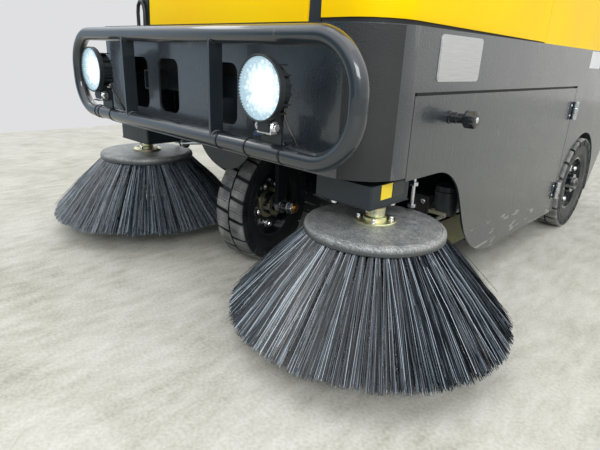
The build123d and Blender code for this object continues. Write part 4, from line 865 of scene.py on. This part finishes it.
washer_profile = [(13.6, -0.4), (13.6, 2), (12.4, 2.8)]
nut_profile = [(10.4, 2), (10.4, 11), (8.6, 15), (5.2, 17.6), (1.6, 18.4)]
inner_nut_profile = [(13.6, -0.4), (13.6, 2), (8, 2.4), (8, 7)]
hub_ring_profile = [(34.2, 0), (45, 0), (45, 3), (34.6, 5)]
hub_lip_profile = [(20.5, -1), (33, -1), (33, 1.2), (20.5, 1.2)]
block_section = [
    # distance from the middle of the tread, and radius
    (0.002, 0.1585), (0.002, 0.1674), (0.003, 0.168), (0.02, 0.168), (0.0385, 0.1679),
    (0.0428, 0.1652), (0.044, 0.16), (0.044, 0.1455), (0.0412, 0.14), (0.0385, 0.145),
    (0.0385, 0.1585),
]


def tread_blocks(centre, outward):
    """Two rows of blocks with slanted grooves, each cut by two short sipes."""
    ahead = upright.cross(outward)
    pitch = 2 * pi / tread_count
    # first and last angle of each part of a block, and whether it is the one between the sipes
    parts = [(0.03, 0.15, False), (0.156, 0.196, True), (0.202, pitch - 0.03, False)]
    tread = Form()
    for row in (-1, 1):
        for block in range(tread_count):
            start = pitch * (block + row_stagger * row)
            for first, last, middle_part in parts:
                rings = []
                for turn in range(4):
                    ring = []
                    for along, radius in block_section:
                        if middle_part and sipe_start < along < sipe_end:
                            radius -= sipe_drop
                        lean = row * (along - 0.02) * groove_slant
                        angle = start + first + (last - first) * turn / 3 + lean
                        ring.append(
                            centre + outward * (row * along)
                            + (ahead * cos(angle) + upright * sin(angle)) * radius
                        )
                    rings.append(ring)
                tread.loft(rings)
    return tread


steer = radians(13.0)
steer_axle = Vector((cos(steer), sin(steer), 0.0))
axle_z = 0.168
rear_axle_y = 0.516
front_centre = Vector((0.0, -0.557, axle_z))
wheel_rows = [
    # name, body, centre, outward direction, tones of the tread, finish of the wall, rim and hub
    ("front", "front_wheel", front_centre, steer_axle, tread_tones, wall_rubber, rim_black,
     yellow_zinc),
]
for side, side_name in both_sides:
    wheel_rows.append((
        f"rear_{side_name}", f"rear_wheel_{side_name}", Vector((side * 0.498, rear_axle_y, axle_z)),
        Vector((side, 0, 0)), dusty_tones, dusty_wall, rim_gloss, rim_gloss,
    ))
for name, body, centre, outward, tones, wall_finish, rim_finish, hub_finish in wheel_rows:
    ahead = upright.cross(outward)
    tyre_wall = Form().turned(centre, outward, carcass, 96, closed=True)
    for way in (-1, 1):
        for radius, width in wall_ribs:
            tyre_wall.turned(centre + outward * way * width, outward * way, [
                (radius - 1.4, -1), (radius - 0.8, 1), (radius + 0.8, 1), (radius + 1.4, -1),
            ], 72, closed=True)
    tyre_wall.piece(f"{name}_tyre_wall", wall_finish, body, replaced=[f"{name}_tyre"])
    tread_finish = worn_rubber(f"{name}_tread_rubber", tones, 0.6, tuple(centre))
    tread_blocks(centre, outward).piece(
        f"{name}_tyre_tread", tread_finish, body, angle=30.0, replaced=[f"{name}_tyre"],
    )
    dress(rim_finish, f"{name}_rim")
    nuts = Form()
    rim_face = centre + outward * 0.012
    for step in range(5):
        angle = radians(120.0 + 72.0 * step)
        spot = rim_face + (ahead * cos(angle) + upright * sin(angle)) * nut_circle
        nuts.turned(spot, outward, washer_profile, 24)
        nuts.turned(spot, outward, nut_profile, 6)
        nuts.turned(spot - outward * 0.008, outward * -1, inner_nut_profile, 16)
    nuts.piece(f"{name}_wheel_nuts", zinc, body, bevel=0.0004)
    Form().turned(rim_face, outward, hub_ring_profile, 40, closed=True).turned(
        centre + outward * 0.0382, outward, hub_lip_profile, 40, closed=True,
    ).piece(f"{name}_hub_ring", hub_finish, body, slot="zinc_steel")

# Axle ends: a plain washer and a hexagon nut outside each fork leg, with the brassy end
# of the thread, and the same nuts on the rear stub axles under a dust cap.
brass = mottled(
    "brass_end", "zinc_steel", {"Metallic": 1.0, "Roughness": 0.28}, 90.0, (0.8, 0.36, 0.08),
    (0.95, 0.55, 0.16),
)
leg_washer = [(12.2, 0), (21.5, 0), (21.5, 3), (12.2, 3.2)]
axle_nut = [(12.1, 0), (20.5, 0), (20.5, 3), (19, 3.4), (19, 18), (16.8, 20), (12.1, 20)]
thread_end = [(12.2, 0), (12.2, 11), (10, 12.6)]
dust_cap = [(22.5, 0), (22.5, 6), (21, 11), (16, 13.4), (6, 13.8)]
axle_nuts, axle_tips = Form(), Form()
for way in (-1, 1):
    out = steer_axle * way
    axle_nuts.turned(front_centre + out * 0.0632, out, leg_washer, 28, closed=True)
    axle_nuts.turned(front_centre + out * 0.0835, out, axle_nut, 6, closed=True)
    axle_tips.turned(front_centre + out * 0.099, out, thread_end, 24)
for side, side_name in both_sides[::-1]:
    Form().turned((side * 0.5362, rear_axle_y, axle_z), (side, 0, 0), dust_cap, 32).piece(
        f"rear_axle_cap_{side_name}", rim_gloss, slot="rim_paint",
    )
axle_nuts.piece("front_axle_nuts", zinc, "steering_fork", bevel=0.0004)
axle_tips.piece("front_axle_tips", brass, "steering_fork")

# Service doors: each shuts against a rubber strip behind its gap. A lobed black knob
# with a bright insert locks it, and two butt hinges carry it.
seal_rubber = mottled(
    "seal_rubber", "black_rubber", {"Roughness": 0.6}, 400.0, (0.006, 0.006, 0.007),
    (0.018, 0.018, 0.019), relief=(0.3, 0.0004),
)
dress(seal_rubber, "body_seal")
gloss_plastic = mottled(
    "gloss_plastic", "black_plastic", {"Roughness": 0.18, "Specular IOR Level": 0.8}, 50.0,
    (0.006, 0.008, 0.01), (0.014, 0.017, 0.02),
)
seal_strips = [
    # front, rear, lower and upper edge of each strip
    (-0.682, 0.34, 0.505, 0.53), (-0.682, -0.66, 0.358, 0.53), (0.3, 0.33, 0.11, 0.53),
]
seal_inner_x, seal_outer_x = 0.5215, 0.5269
knob_y, knob_z = -0.528, 0.471
knob_base_x, knob_outer_x = 0.532, 0.59
knob_stem = [(13.5, 0), (13.5, 3), (11.2, 4), (11.2, 18), (10, 19), (9.8, 34)]
knob_head = [(14, 33), (16.6, 35.2), (17, 37.5), (17, 54.5), (16.4, 57), (14, 58.4), (8, 58.4)]
hinge_x, hinge_y, hinge_heights = 0.541, 0.314, (0.175, 0.445)
screw_x, door_screw_y, panel_screw_y = 0.5334, 0.296, 0.327
hinge_screw = [(4.4, 0), (4, 1.4), (2, 2)]
moving_knuckle = [(8.2, -9.2), (8.4, -8.8), (8.4, 8.8), (8.2, 9.2)]
fixed_knuckles = ((-28, -10), (10, 28))
door_seals = Form()
for side, side_name in both_sides:
    door = f"{side_name}_door"
    out = (side, 0, 0)
    near, far = sorted((side * seal_inner_x, side * seal_outer_x))
    for low_y, high_y, low_z, high_z in seal_strips:
        door_seals.box((near, low_y, low_z), (far, high_y, high_z))
    base = (side * knob_base_x, knob_y, knob_z)
    Form().turned(base, out, knob_stem, 28).turned(
        base, out, knob_head, 84, lobes=(7, 0.045),
    ).piece(f"{door}_knob", gloss_plastic, door)
    Form().turned((side * knob_outer_x, knob_y, knob_z), out, [
        (6.2, 0), (6.2, 1), (5, 1.8),
    ], 20).piece(f"{side_name}_knob_insert", zinc, door)
    moving, fixed = Form(), Form()
    for height in hinge_heights:
        pin = (side * hinge_x, hinge_y, height)
        for low, high in fixed_knuckles:
            fixed.turned(pin, (0, 0, 1), [
                (7.6, low - 0.6), (8.3, low), (8.3, high), (7.6, high + 0.6),
            ], 20)
        moving.turned(pin, (0, 0, 1), moving_knuckle, 20)
        for shift in (-0.016, 0.016):
            for half, screw_y in ((moving, door_screw_y), (fixed, panel_screw_y)):
                half.turned((side * screw_x, screw_y, height + shift), out, hinge_screw, 12)
    moving.piece(f"{side_name}_hinge_moving", chrome, door)
    fixed.piece(f"{side_name}_hinge_fixed", chrome)
door_seals.piece("door_seals", seal_rubber)

# Water filter of the left side: a grey bowl and its lever hang from a box on the front of
# the brush tunnel and show through the step in the door.
bowl_grey = mottled(
    "bowl_grey", "grey_plastic", {"Roughness": 0.35}, 45.0, (0.02, 0.024, 0.026),
    (0.06, 0.068, 0.072), 3.0,
)
box_olive = mottled(
    "box_olive", "frame_paint", {"Roughness": 0.5}, 40.0, (0.01, 0.011, 0.01),
    (0.04, 0.042, 0.034), 3.0,
)
lever_beige = mottled(
    "lever_beige", "grey_plastic", {"Roughness": 0.45}, 60.0, (0.16, 0.15, 0.1),
    (0.32, 0.3, 0.22), 3.0,
)


def rounded_outline(low, high, radius, steps=5):
    """Corner points of a rectangle whose corners are round."""
    outline = []
    for quarter, (a, b) in enumerate((
        (high[0] - radius, high[1] - radius), (low[0] + radius, high[1] - radius),
        (low[0] + radius, low[1] + radius), (high[0] - radius, low[1] + radius),
    )):
        for step in range(steps + 1):
            angle = pi / 2 * (quarter + step / steps)
            outline.append((a + radius * cos(angle), b + radius * sin(angle)))
    return outline


Form().box((0.365, -0.36, 0.195), (0.42, -0.293, 0.245)).box(
    (0.37, -0.364, 0.2), (0.415, -0.36, 0.24),
).piece("filter_box", box_olive, bevel=0.002)
Form().turned((0.462, -0.345, 0.203), (0, 0, 1), [
    (18, 0), (26.5, 3), (30, 12), (30, 54), (31.8, 54.5), (31.8, 64), (29, 66), (29, 78),
    (12, 82),
], 40).piece("filter_bowl", bowl_grey)
Form().box((0.4, -0.338, 0.214), (0.44, -0.32, 0.226)).slab(
    rounded_outline((0.438, -0.39), (0.486, -0.379), 0.004), (0, 0, 0.212),
    (1, 0, 0), (0, 1, 0), 0.008,
).box((0.44, -0.386, 0.213), (0.448, -0.33, 0.22)).piece(
    "filter_lever", lever_beige, bevel=0.0012,
)
Form().bolt((0.408, -0.364, 0.23), (0, -1, 0), 11).bolt(
    (0.378, -0.364, 0.21), (0, -1, 0), 11,
).piece("filter_bolts", zinc)

# Small parts at the front: a plug in the lower edge of the fascia, a bent black hook
# beside the cowl and the stop screw of the right brush arm.
stop_axis = Vector((-0.102, 0.0, -0.016)).normalized()
stop_foot = Vector((-0.11, -0.7, 0.338))
Form().swept([stop_foot, stop_foot + stop_axis * 0.104], 0.0052, 14).turned(
    stop_foot + stop_axis * 0.088, stop_axis, [(11.8, 0), (11.8, 9.5), (10, 11)], 6,
).turned(
    stop_foot + stop_axis * 0.076, stop_axis, [(14.5, 0), (14.5, 2.5), (5.2, 2.7)], 20,
).piece("arm_stop_screw", zinc, bevel=0.0003)
plug_blue = mottled(
    "plug_blue", "black_plastic", {"Roughness": 0.4}, 90.0, (0.03, 0.1, 0.32), (0.08, 0.2, 0.5),
)
Form().box((0.24, -0.806, 0.416), (0.251, -0.789, 0.426)).box(
    (0.242, -0.81, 0.418), (0.249, -0.806, 0.424),
).piece("fascia_plug", plug_blue, bevel=0.0008)
hook_y = -0.729
hook_route = [
    (-0.322, 0.636), (-0.322, 0.672), (-0.326, 0.69), (-0.335, 0.701), (-0.346, 0.702),
    (-0.356, 0.692), (-0.36, 0.674), (-0.36, 0.636),
]
grommet = [(4.2, 0), (9, 0), (9, 2.2), (4.2, 3)]
hook = Form().swept([(x, hook_y, z) for x, z in hook_route], 0.005, 12)
for end in (hook_route[0], hook_route[-1]):
    hook.turned((end[0], hook_y, 0.635), (0, 0, 1), grommet, 20, closed=True)
hook.piece("cowl_side_hook", cast_black, slot="black_plastic")

# Blank plates: a brushed plate with rounded corners on the left side band and a small
# white card near the tail, both without any words.
plate_silver = Finish("plate_silver", {"Metallic": 0.9}, "zinc_steel")
plate_brush = plate_silver.noise(120.0, 4.0, (1.0, 0.1, 3.0))
plate_silver.set({
    "Base Color": plate_silver.blend(plate_brush, (0.42, 0.43, 0.44), (0.7, 0.71, 0.72)),
    "Roughness": plate_silver.spread(plate_brush, 0.25, 0.42),
})
card_white = mottled(
    "card_white", "grey_plastic", {"Roughness": 0.5}, 30.0, (0.7, 0.71, 0.73), (0.82, 0.83, 0.85),
)
band_x = 0.532


def side_plate(form, low, high, radius, x, thickness):
    """A plate with rounded corners that stands on the left side of the machine."""
    outline = rounded_outline(low, high, radius)
    return form.slab(outline, (x, 0, 0), (0, 1, 0), (0, 0, 1), thickness)


plate = side_plate(Form(), (-0.606, 0.541), (-0.429, 0.626), 0.009, band_x, 0.0012)
side_plate(plate, (-0.602, 0.545), (-0.433, 0.622), 0.006, band_x + 0.001, 0.0008).piece(
    "side_plate_blank", plate_silver,
)
side_plate(Form(), (0.396, 0.578), (0.52, 0.631), 0.002, band_x, 0.0005).piece(
    "tail_card_blank", card_white,
)

# Yellow body panels: cowl, wing, hood, lid and roof are glossy moulded covers, screwed to
# the tub and the cab frame from inside.
yellow = Finish("yellow_gloss", {"IOR": 1.5, "Specular IOR Level": 0.07})
yellow_haze = yellow.noise(4.0, 3.0)
yellow.set({
    "Base Color": yellow.ramp(yellow_haze, [(0.3, (1.0, 0.615, 0.0)), (0.7, (1.0, 0.68, 0.0))]),
    "Roughness": yellow.spread(yellow_haze, 0.28, 0.4),
    "Normal": yellow.bump(yellow.noise(45.0, 2.0), 0.06, 0.0008),
})
dress(yellow, "front_cowl", "left_wing", "rear_hood", "rear_lid", "roof_panel")

# Parts inside and at the ends: olive rubber skirts under the tunnel, moulded deck and
# console, a galvanised hopper, the battery block, red tail lamps and the clear windscreen.
olive = Finish("olive_rubber", {"IOR": 1.45})
olive_cloud = olive.noise(20.0, 4.0)
olive.set({
    "Base Color": olive.ramp(olive_cloud, [(0.3, (0.11, 0.11, 0.035)), (0.7, (0.24, 0.23, 0.085))]),
    "Roughness": olive.spread(olive_cloud, 0.35, 0.6),
})
dress(olive, "tunnel_skirts")
moulded = mottled(
    "moulded_black", "black_plastic", {"Roughness": 0.48}, 8.0, (0.012, 0.012, 0.013),
    (0.03, 0.03, 0.032),
)
moulded.set({"Normal": moulded.bump(moulded.cells(700.0), 0.3, 0.0004)})
dress(moulded, "console", "steering_wheel", "deck")
dress(zinc, "hopper")
dress(mottled(
    "battery_grey", "", {"Roughness": 0.6}, 12.0, (0.03, 0.03, 0.034), (0.055, 0.055, 0.06),
), "battery_block")
red_lens = Finish("red_lens", {"Roughness": 0.12, "Coat Weight": 0.5})
red_lens.set({"Base Color": red_lens.blend(
    red_lens.cells(180.0), (0.35, 0.01, 0.01), (0.65, 0.03, 0.02),
)})
dress(red_lens, "rear_lamps")
glass = Finish("clear_glass", {"Base Color": (0.62, 0.7, 0.67), "Roughness": 0.02, "IOR": 1.5})
glass.set({"Alpha": glass.spread(glass.noise(3.0), 0.06, 0.1)})
dress(glass, "windscreen")

# Seat: foam cushions in black vinyl covers, sewn through along four channels, with a
# piped seam round the edge. They are screwed to the hood and its seat plate.
vinyl = mottled(
    "black_vinyl", "seat_vinyl", {"IOR": 1.5}, 6.0, (0.012, 0.012, 0.013), (0.03, 0.03, 0.032),
)
vinyl_grain = vinyl.cells(420.0)
vinyl.set({
    "Roughness": vinyl.rescale(vinyl_grain, 0.0, 0.6, 0.5, 0.36),
    "Normal": vinyl.bump(vinyl_grain, 0.5, 0.0006),
})
piping_black = mottled(
    "piping_black", "seat_vinyl", {"Roughness": 0.35}, 200.0, (0.008, 0.008, 0.009),
    (0.02, 0.02, 0.022),
)
thread_grey = mottled(
    "thread_grey", "seat_vinyl", {"Roughness": 0.7}, 600.0, (0.16, 0.16, 0.17), (0.3, 0.3, 0.31),
)
cover_inset, cover_corner = 0.018, 0.045
foam_voxel = 0.0065
held_below = 0.003
air_pressure, settling_steps = 4.0, 20
most_swell = 0.026
channel_depth, channel_width, channel_fade = 0.011, 0.008, 0.05
seam_corner, seam_share, seam_radius = 0.05, 0.72, 0.0036
stitch_pitch, stitch_length, stitch_radius = 0.0085, 0.0055, 0.0007
stitch_margin, stitch_shift, stitch_lift = 0.055, 0.004, 0.0003


def settled(piece):
    """Takes what the modifiers make of a piece as its own mesh."""
    shape = bpy.data.meshes.new_from_object(
        piece.evaluated_get(bpy.context.evaluated_depsgraph_get())
    )
    piece.modifiers.clear()
    piece.data = shape


def stuffed_pad(name, node, origin, up, low, high, start, thickness, channels):
    """A vinyl cover blown up over its foam, then pulled in along its sewn channels."""
    origin, across, up = Vector(origin), Vector((1, 0, 0)), Vector(up).normalized()
    out = across.cross(up)
    cover_low = (low[0] + cover_inset, low[1] + cover_inset)
    cover_high = (high[0] - cover_inset, high[1] - cover_inset)
    outline = rounded_outline(cover_low, cover_high, cover_corner, 8)
    pad = Form().slab(outline, origin, across, up, start).piece(name, vinyl, replaced=[node])
    remesh = pad.modifiers.new("remesh", "REMESH")
    remesh.mode = "VOXEL"
    remesh.voxel_size = foam_voxel
    settled(pad)
    before = [vertex.co.copy() for vertex in pad.data.vertices]
    held = pad.vertex_groups.new(name="held")
    held.add([
        index for index, point in enumerate(before) if (point - origin).dot(out) < held_below
    ], 1.0, "REPLACE")
    cover = pad.modifiers.new("cover", "CLOTH")
    cover.settings.vertex_group_mass = "held"
    cover.settings.use_pressure = True
    cover.settings.uniform_pressure_force = air_pressure
    cover.settings.effector_weights.gravity = 0.0
    cover.settings.quality = 4
    cover.point_cache.frame_start = 1
    cover.point_cache.frame_end = settling_steps
    for moment in range(1, settling_steps + 1):
        bpy.context.scene.frame_set(moment)
    settled(pad)
    bpy.context.scene.frame_set(1)
    pad.vertex_groups.clear()
    for vertex, rest in zip(pad.data.vertices, before):
        moved = vertex.co - rest
        if moved.length > most_swell:
            vertex.co = rest + moved * (most_swell / moved.length)
    finer = pad.modifiers.new("finer", "SUBSURF")
    finer.levels = finer.render_levels = 1
    settled(pad)
    for vertex in pad.data.vertices:
        offset = vertex.co - origin
        beside, along, height = offset.dot(across), offset.dot(up), offset.dot(out)
        beside = min(max(beside, low[0]), high[0])
        along = min(max(along, low[1]), high[1])
        rim = min(beside - low[0], high[0] - beside, along - low[1], high[1] - along)
        reach = min(height / (0.6 * start), 1.0) if height > 0.0 else 0.0
        for axis, place in channels:
            gap = (beside if axis == 0 else along) - place
            pull = channel_depth * reach * exp(-((gap / channel_width) ** 2))
            height -= pull * min(rim / channel_fade, 1.0)
        height = min(max(height, 0.0), thickness)
        vertex.co = origin + across * beside + up * along + out * height
    pad.data.materials.clear()
    pad.data.materials.append(vinyl.material)
    pad.data.shade_smooth()
    surface = BVHTree.FromPolygons(
        [vertex.co for vertex in pad.data.vertices],
        [tuple(face.vertices) for face in pad.data.polygons],
    )
    middle = ((low[0] + high[0]) / 2, (low[1] + high[1]) / 2)
    seam, seam_height = [], start * seam_share
    for beside, along in rounded_outline(low, high, seam_corner, 10):
        edge = origin + across * beside + up * along + out * seam_height
        inward = across * (middle[0] - beside) + up * (middle[1] - along)
        found = surface.ray_cast(edge - inward.normalized() * 0.05, inward.normalized())[0]
        seam.append(found if found else edge)
    Form().swept(seam, seam_radius, 10, closed=True).piece(f"{name}_piping", piping_black)
    stitches = Form()
    for axis, place in channels:
        first, last = low[1 - axis] + stitch_margin, high[1 - axis] - stitch_margin
        for step in range(int((last - first) / stitch_pitch)):
            stitch_start = first + step * stitch_pitch
            ends = []
            for along_seam in (stitch_start, stitch_start + stitch_length):
                spot = [0.0, 0.0]
                spot[axis], spot[1 - axis] = place + stitch_shift, along_seam
                above = origin + across * spot[0] + up * spot[1] + out * 0.2
                found = surface.ray_cast(above, out * -1)[0]
                if found:
                    ends.append(found + out * stitch_lift)
            if len(ends) == 2:
                stitches.swept(ends, stitch_radius, 5)
    stitches.piece(f"{name}_stitches", thread_grey)


half_width = 0.239
stuffed_pad(
    "seat_pad", "seat_cushion", (0.0, 0.0, 0.8805), (0, 1, 0), (-half_width, -0.05),
    (half_width, 0.356), 0.078, 0.104, [(0, -0.135), (0, 0.135), (1, 0.075), (1, 0.215)],
)
stuffed_pad(
    "back_pad", "seat_back", (0.0, 0.4165, 0.8805), (0, 0.05, 0.52), (-half_width, 0.004),
    (half_width, 0.518), 0.044, 0.059, [(0, -0.135), (0, 0.135), (1, 0.17), (1, 0.345)],
)

# Main roller: black filaments set in V-shaped rows round a plastic core, driven by the
# flanges at its ends.
roller_y, roller_z = 0.051, 0.165
roller_filament = Finish("roller_filament", {"Roughness": 0.42}, "black_bristle")
roller_tone = roller_filament.node("NewGeometry", output="Random Per Island")
roller_filament.set({"Base Color": roller_filament.ramp(roller_tone, [
    (0.0, (0.004, 0.005, 0.006)), (0.7, (0.02, 0.022, 0.025)), (1.0, (0.12, 0.125, 0.13)),
])})
roller_rows, row_tufts, tuft_strands = 14, 92, 6
tufted_half, roller_half = 0.411, 0.416
strand_foot, strand_reach = 0.054, 0.1575
vee_slant = 1.5
foot_shift, foot_turn = 0.0012, 0.02
tip_shift, tip_turn, tip_wear = 0.0035, 0.03, 0.0022
draw = random.Random(37)
roller = Form()


def round_the_roller(x, radius, angle):
    """A point at an angle round the roller's axis."""
    return (x, roller_y + radius * cos(angle), roller_z + radius * sin(angle))


for row in range(roller_rows):
    for tuft in range(row_tufts):
        x = -tufted_half + 2 * tufted_half * (tuft + 0.5) / row_tufts
        angle = 2 * pi * row / roller_rows + vee_slant * abs(x)
        for strand in range(tuft_strands):
            foot_x = x + draw.gauss(0.0, foot_shift)
            foot_angle = angle + draw.gauss(0.0, foot_turn)
            tip_x = min(max(foot_x + draw.gauss(0.0, tip_shift), -roller_half), roller_half)
            tip_angle = foot_angle + draw.gauss(0.0, tip_turn)
            tip_reach = strand_reach - abs(draw.gauss(0.0, tip_wear))
            roller.swept([
                round_the_roller(foot_x, strand_foot, foot_angle),
                round_the_roller(tip_x, tip_reach, tip_angle),
            ], 0.0011, 3)
roller.piece(
    "roller_filaments", roller_filament, "main_brush", angle=80.0, replaced=["main_brush"],
)
Form().turned((-0.417, roller_y, roller_z), (1, 0, 0), [
    (20, 0), (58, 0), (58, 8), (55, 10), (55, 824), (58, 826), (58, 834), (20, 834),
], 48).piece("roller_core", moulded, "main_brush", replaced=["main_brush"])

# Parts that the other sides show: the cap of the steering wheel, blank rockers on the
# console, the rubber round the windscreen, lamp rims at the tail and fins on the motor.
wheel_middle = Vector((0.0, -0.4522, 1.0739))
wheel_axis = Vector((0.0, sin(radians(35.0)), cos(radians(35.0))))
Form().turned(wheel_middle + wheel_axis * 0.0118, wheel_axis, [
    (31, 0), (31, 3), (28.5, 7), (18, 9.8), (6, 10.6),
], 48).piece("steering_wheel_cap", gloss_plastic, "steering_wheel")
console_top = 0.985


def lying_plate(form, low, high, radius, above, thickness):
    """A plate with rounded corners that lies on the console."""
    outline = rounded_outline(low, high, radius)
    return form.slab(outline, (0, 0, console_top + above), (1, 0, 0), (0, 1, 0), thickness)


lying_plate(Form(), (-0.125, -0.68), (0.125, -0.604), 0.012, -0.0006, 0.0036).piece(
    "console_panel", gloss_plastic, bevel=0.0008,
)
for index, place in enumerate((-0.095, -0.055, -0.015)):
    rocker = lying_plate(
        Form(), (place - 0.013, -0.664), (place + 0.013, -0.622), 0.003, 0.0028, 0.003,
    )
    lying_plate(
        rocker, (place - 0.01, -0.66), (place + 0.01, -0.642), 0.002, 0.0056, 0.0034,
    ).piece(f"console_rocker_{index}", moulded, bevel=0.001)
Form().turned((0.085, -0.642, console_top + 0.0028), (0, 0, 1), [
    (17, 0), (17, 3), (12, 4.4), (12, 7.5), (8, 8),
], 28).piece("console_key_ring", zinc)
glass_foot, glass_head = Vector((0.0, -0.7005, 1.008)), Vector((0.0, -0.5825, 1.926))
glass_side = Vector((0.305, 0, 0))
Form().swept([
    glass_foot - glass_side, glass_foot + glass_side, glass_head + glass_side,
    glass_head - glass_side,
], 0.0055, 10, closed=True).piece("windscreen_rubber", seal_rubber)
lamp_middle_x, lamp_half_width = 0.425, 0.0465
rims = Form()
for side in (-1, 1):
    middle = side * lamp_middle_x
    outline = rounded_outline(
        (middle - lamp_half_width, 0.5365), (middle + lamp_half_width, 0.5835), 0.008,
    )
    rims.swept([(x, 0.9585, z) for x, z in outline], 0.0036, 8, closed=True)
    for step in range(-1, 2):
        rib = middle + 0.022 * step
        rims.box((rib - 0.0009, 0.969, 0.5395), (rib + 0.0009, 0.9706, 0.5805))
rims.piece("rear_lamp_rims", gloss_plastic)
fin_profile = [(70, 0), (77.5, 0), (77.5, 4), (70, 4)]
fin_count, fin_start, fin_pitch = 16, -0.1, 0.0125
fins = Form()
for step in range(fin_count):
    fin_place = (fin_start + fin_pitch * step, rear_axle_y, axle_z)
    fins.turned(fin_place, (1, 0, 0), fin_profile, 48, closed=True)
fins.piece("drive_motor_fins", cast_black)
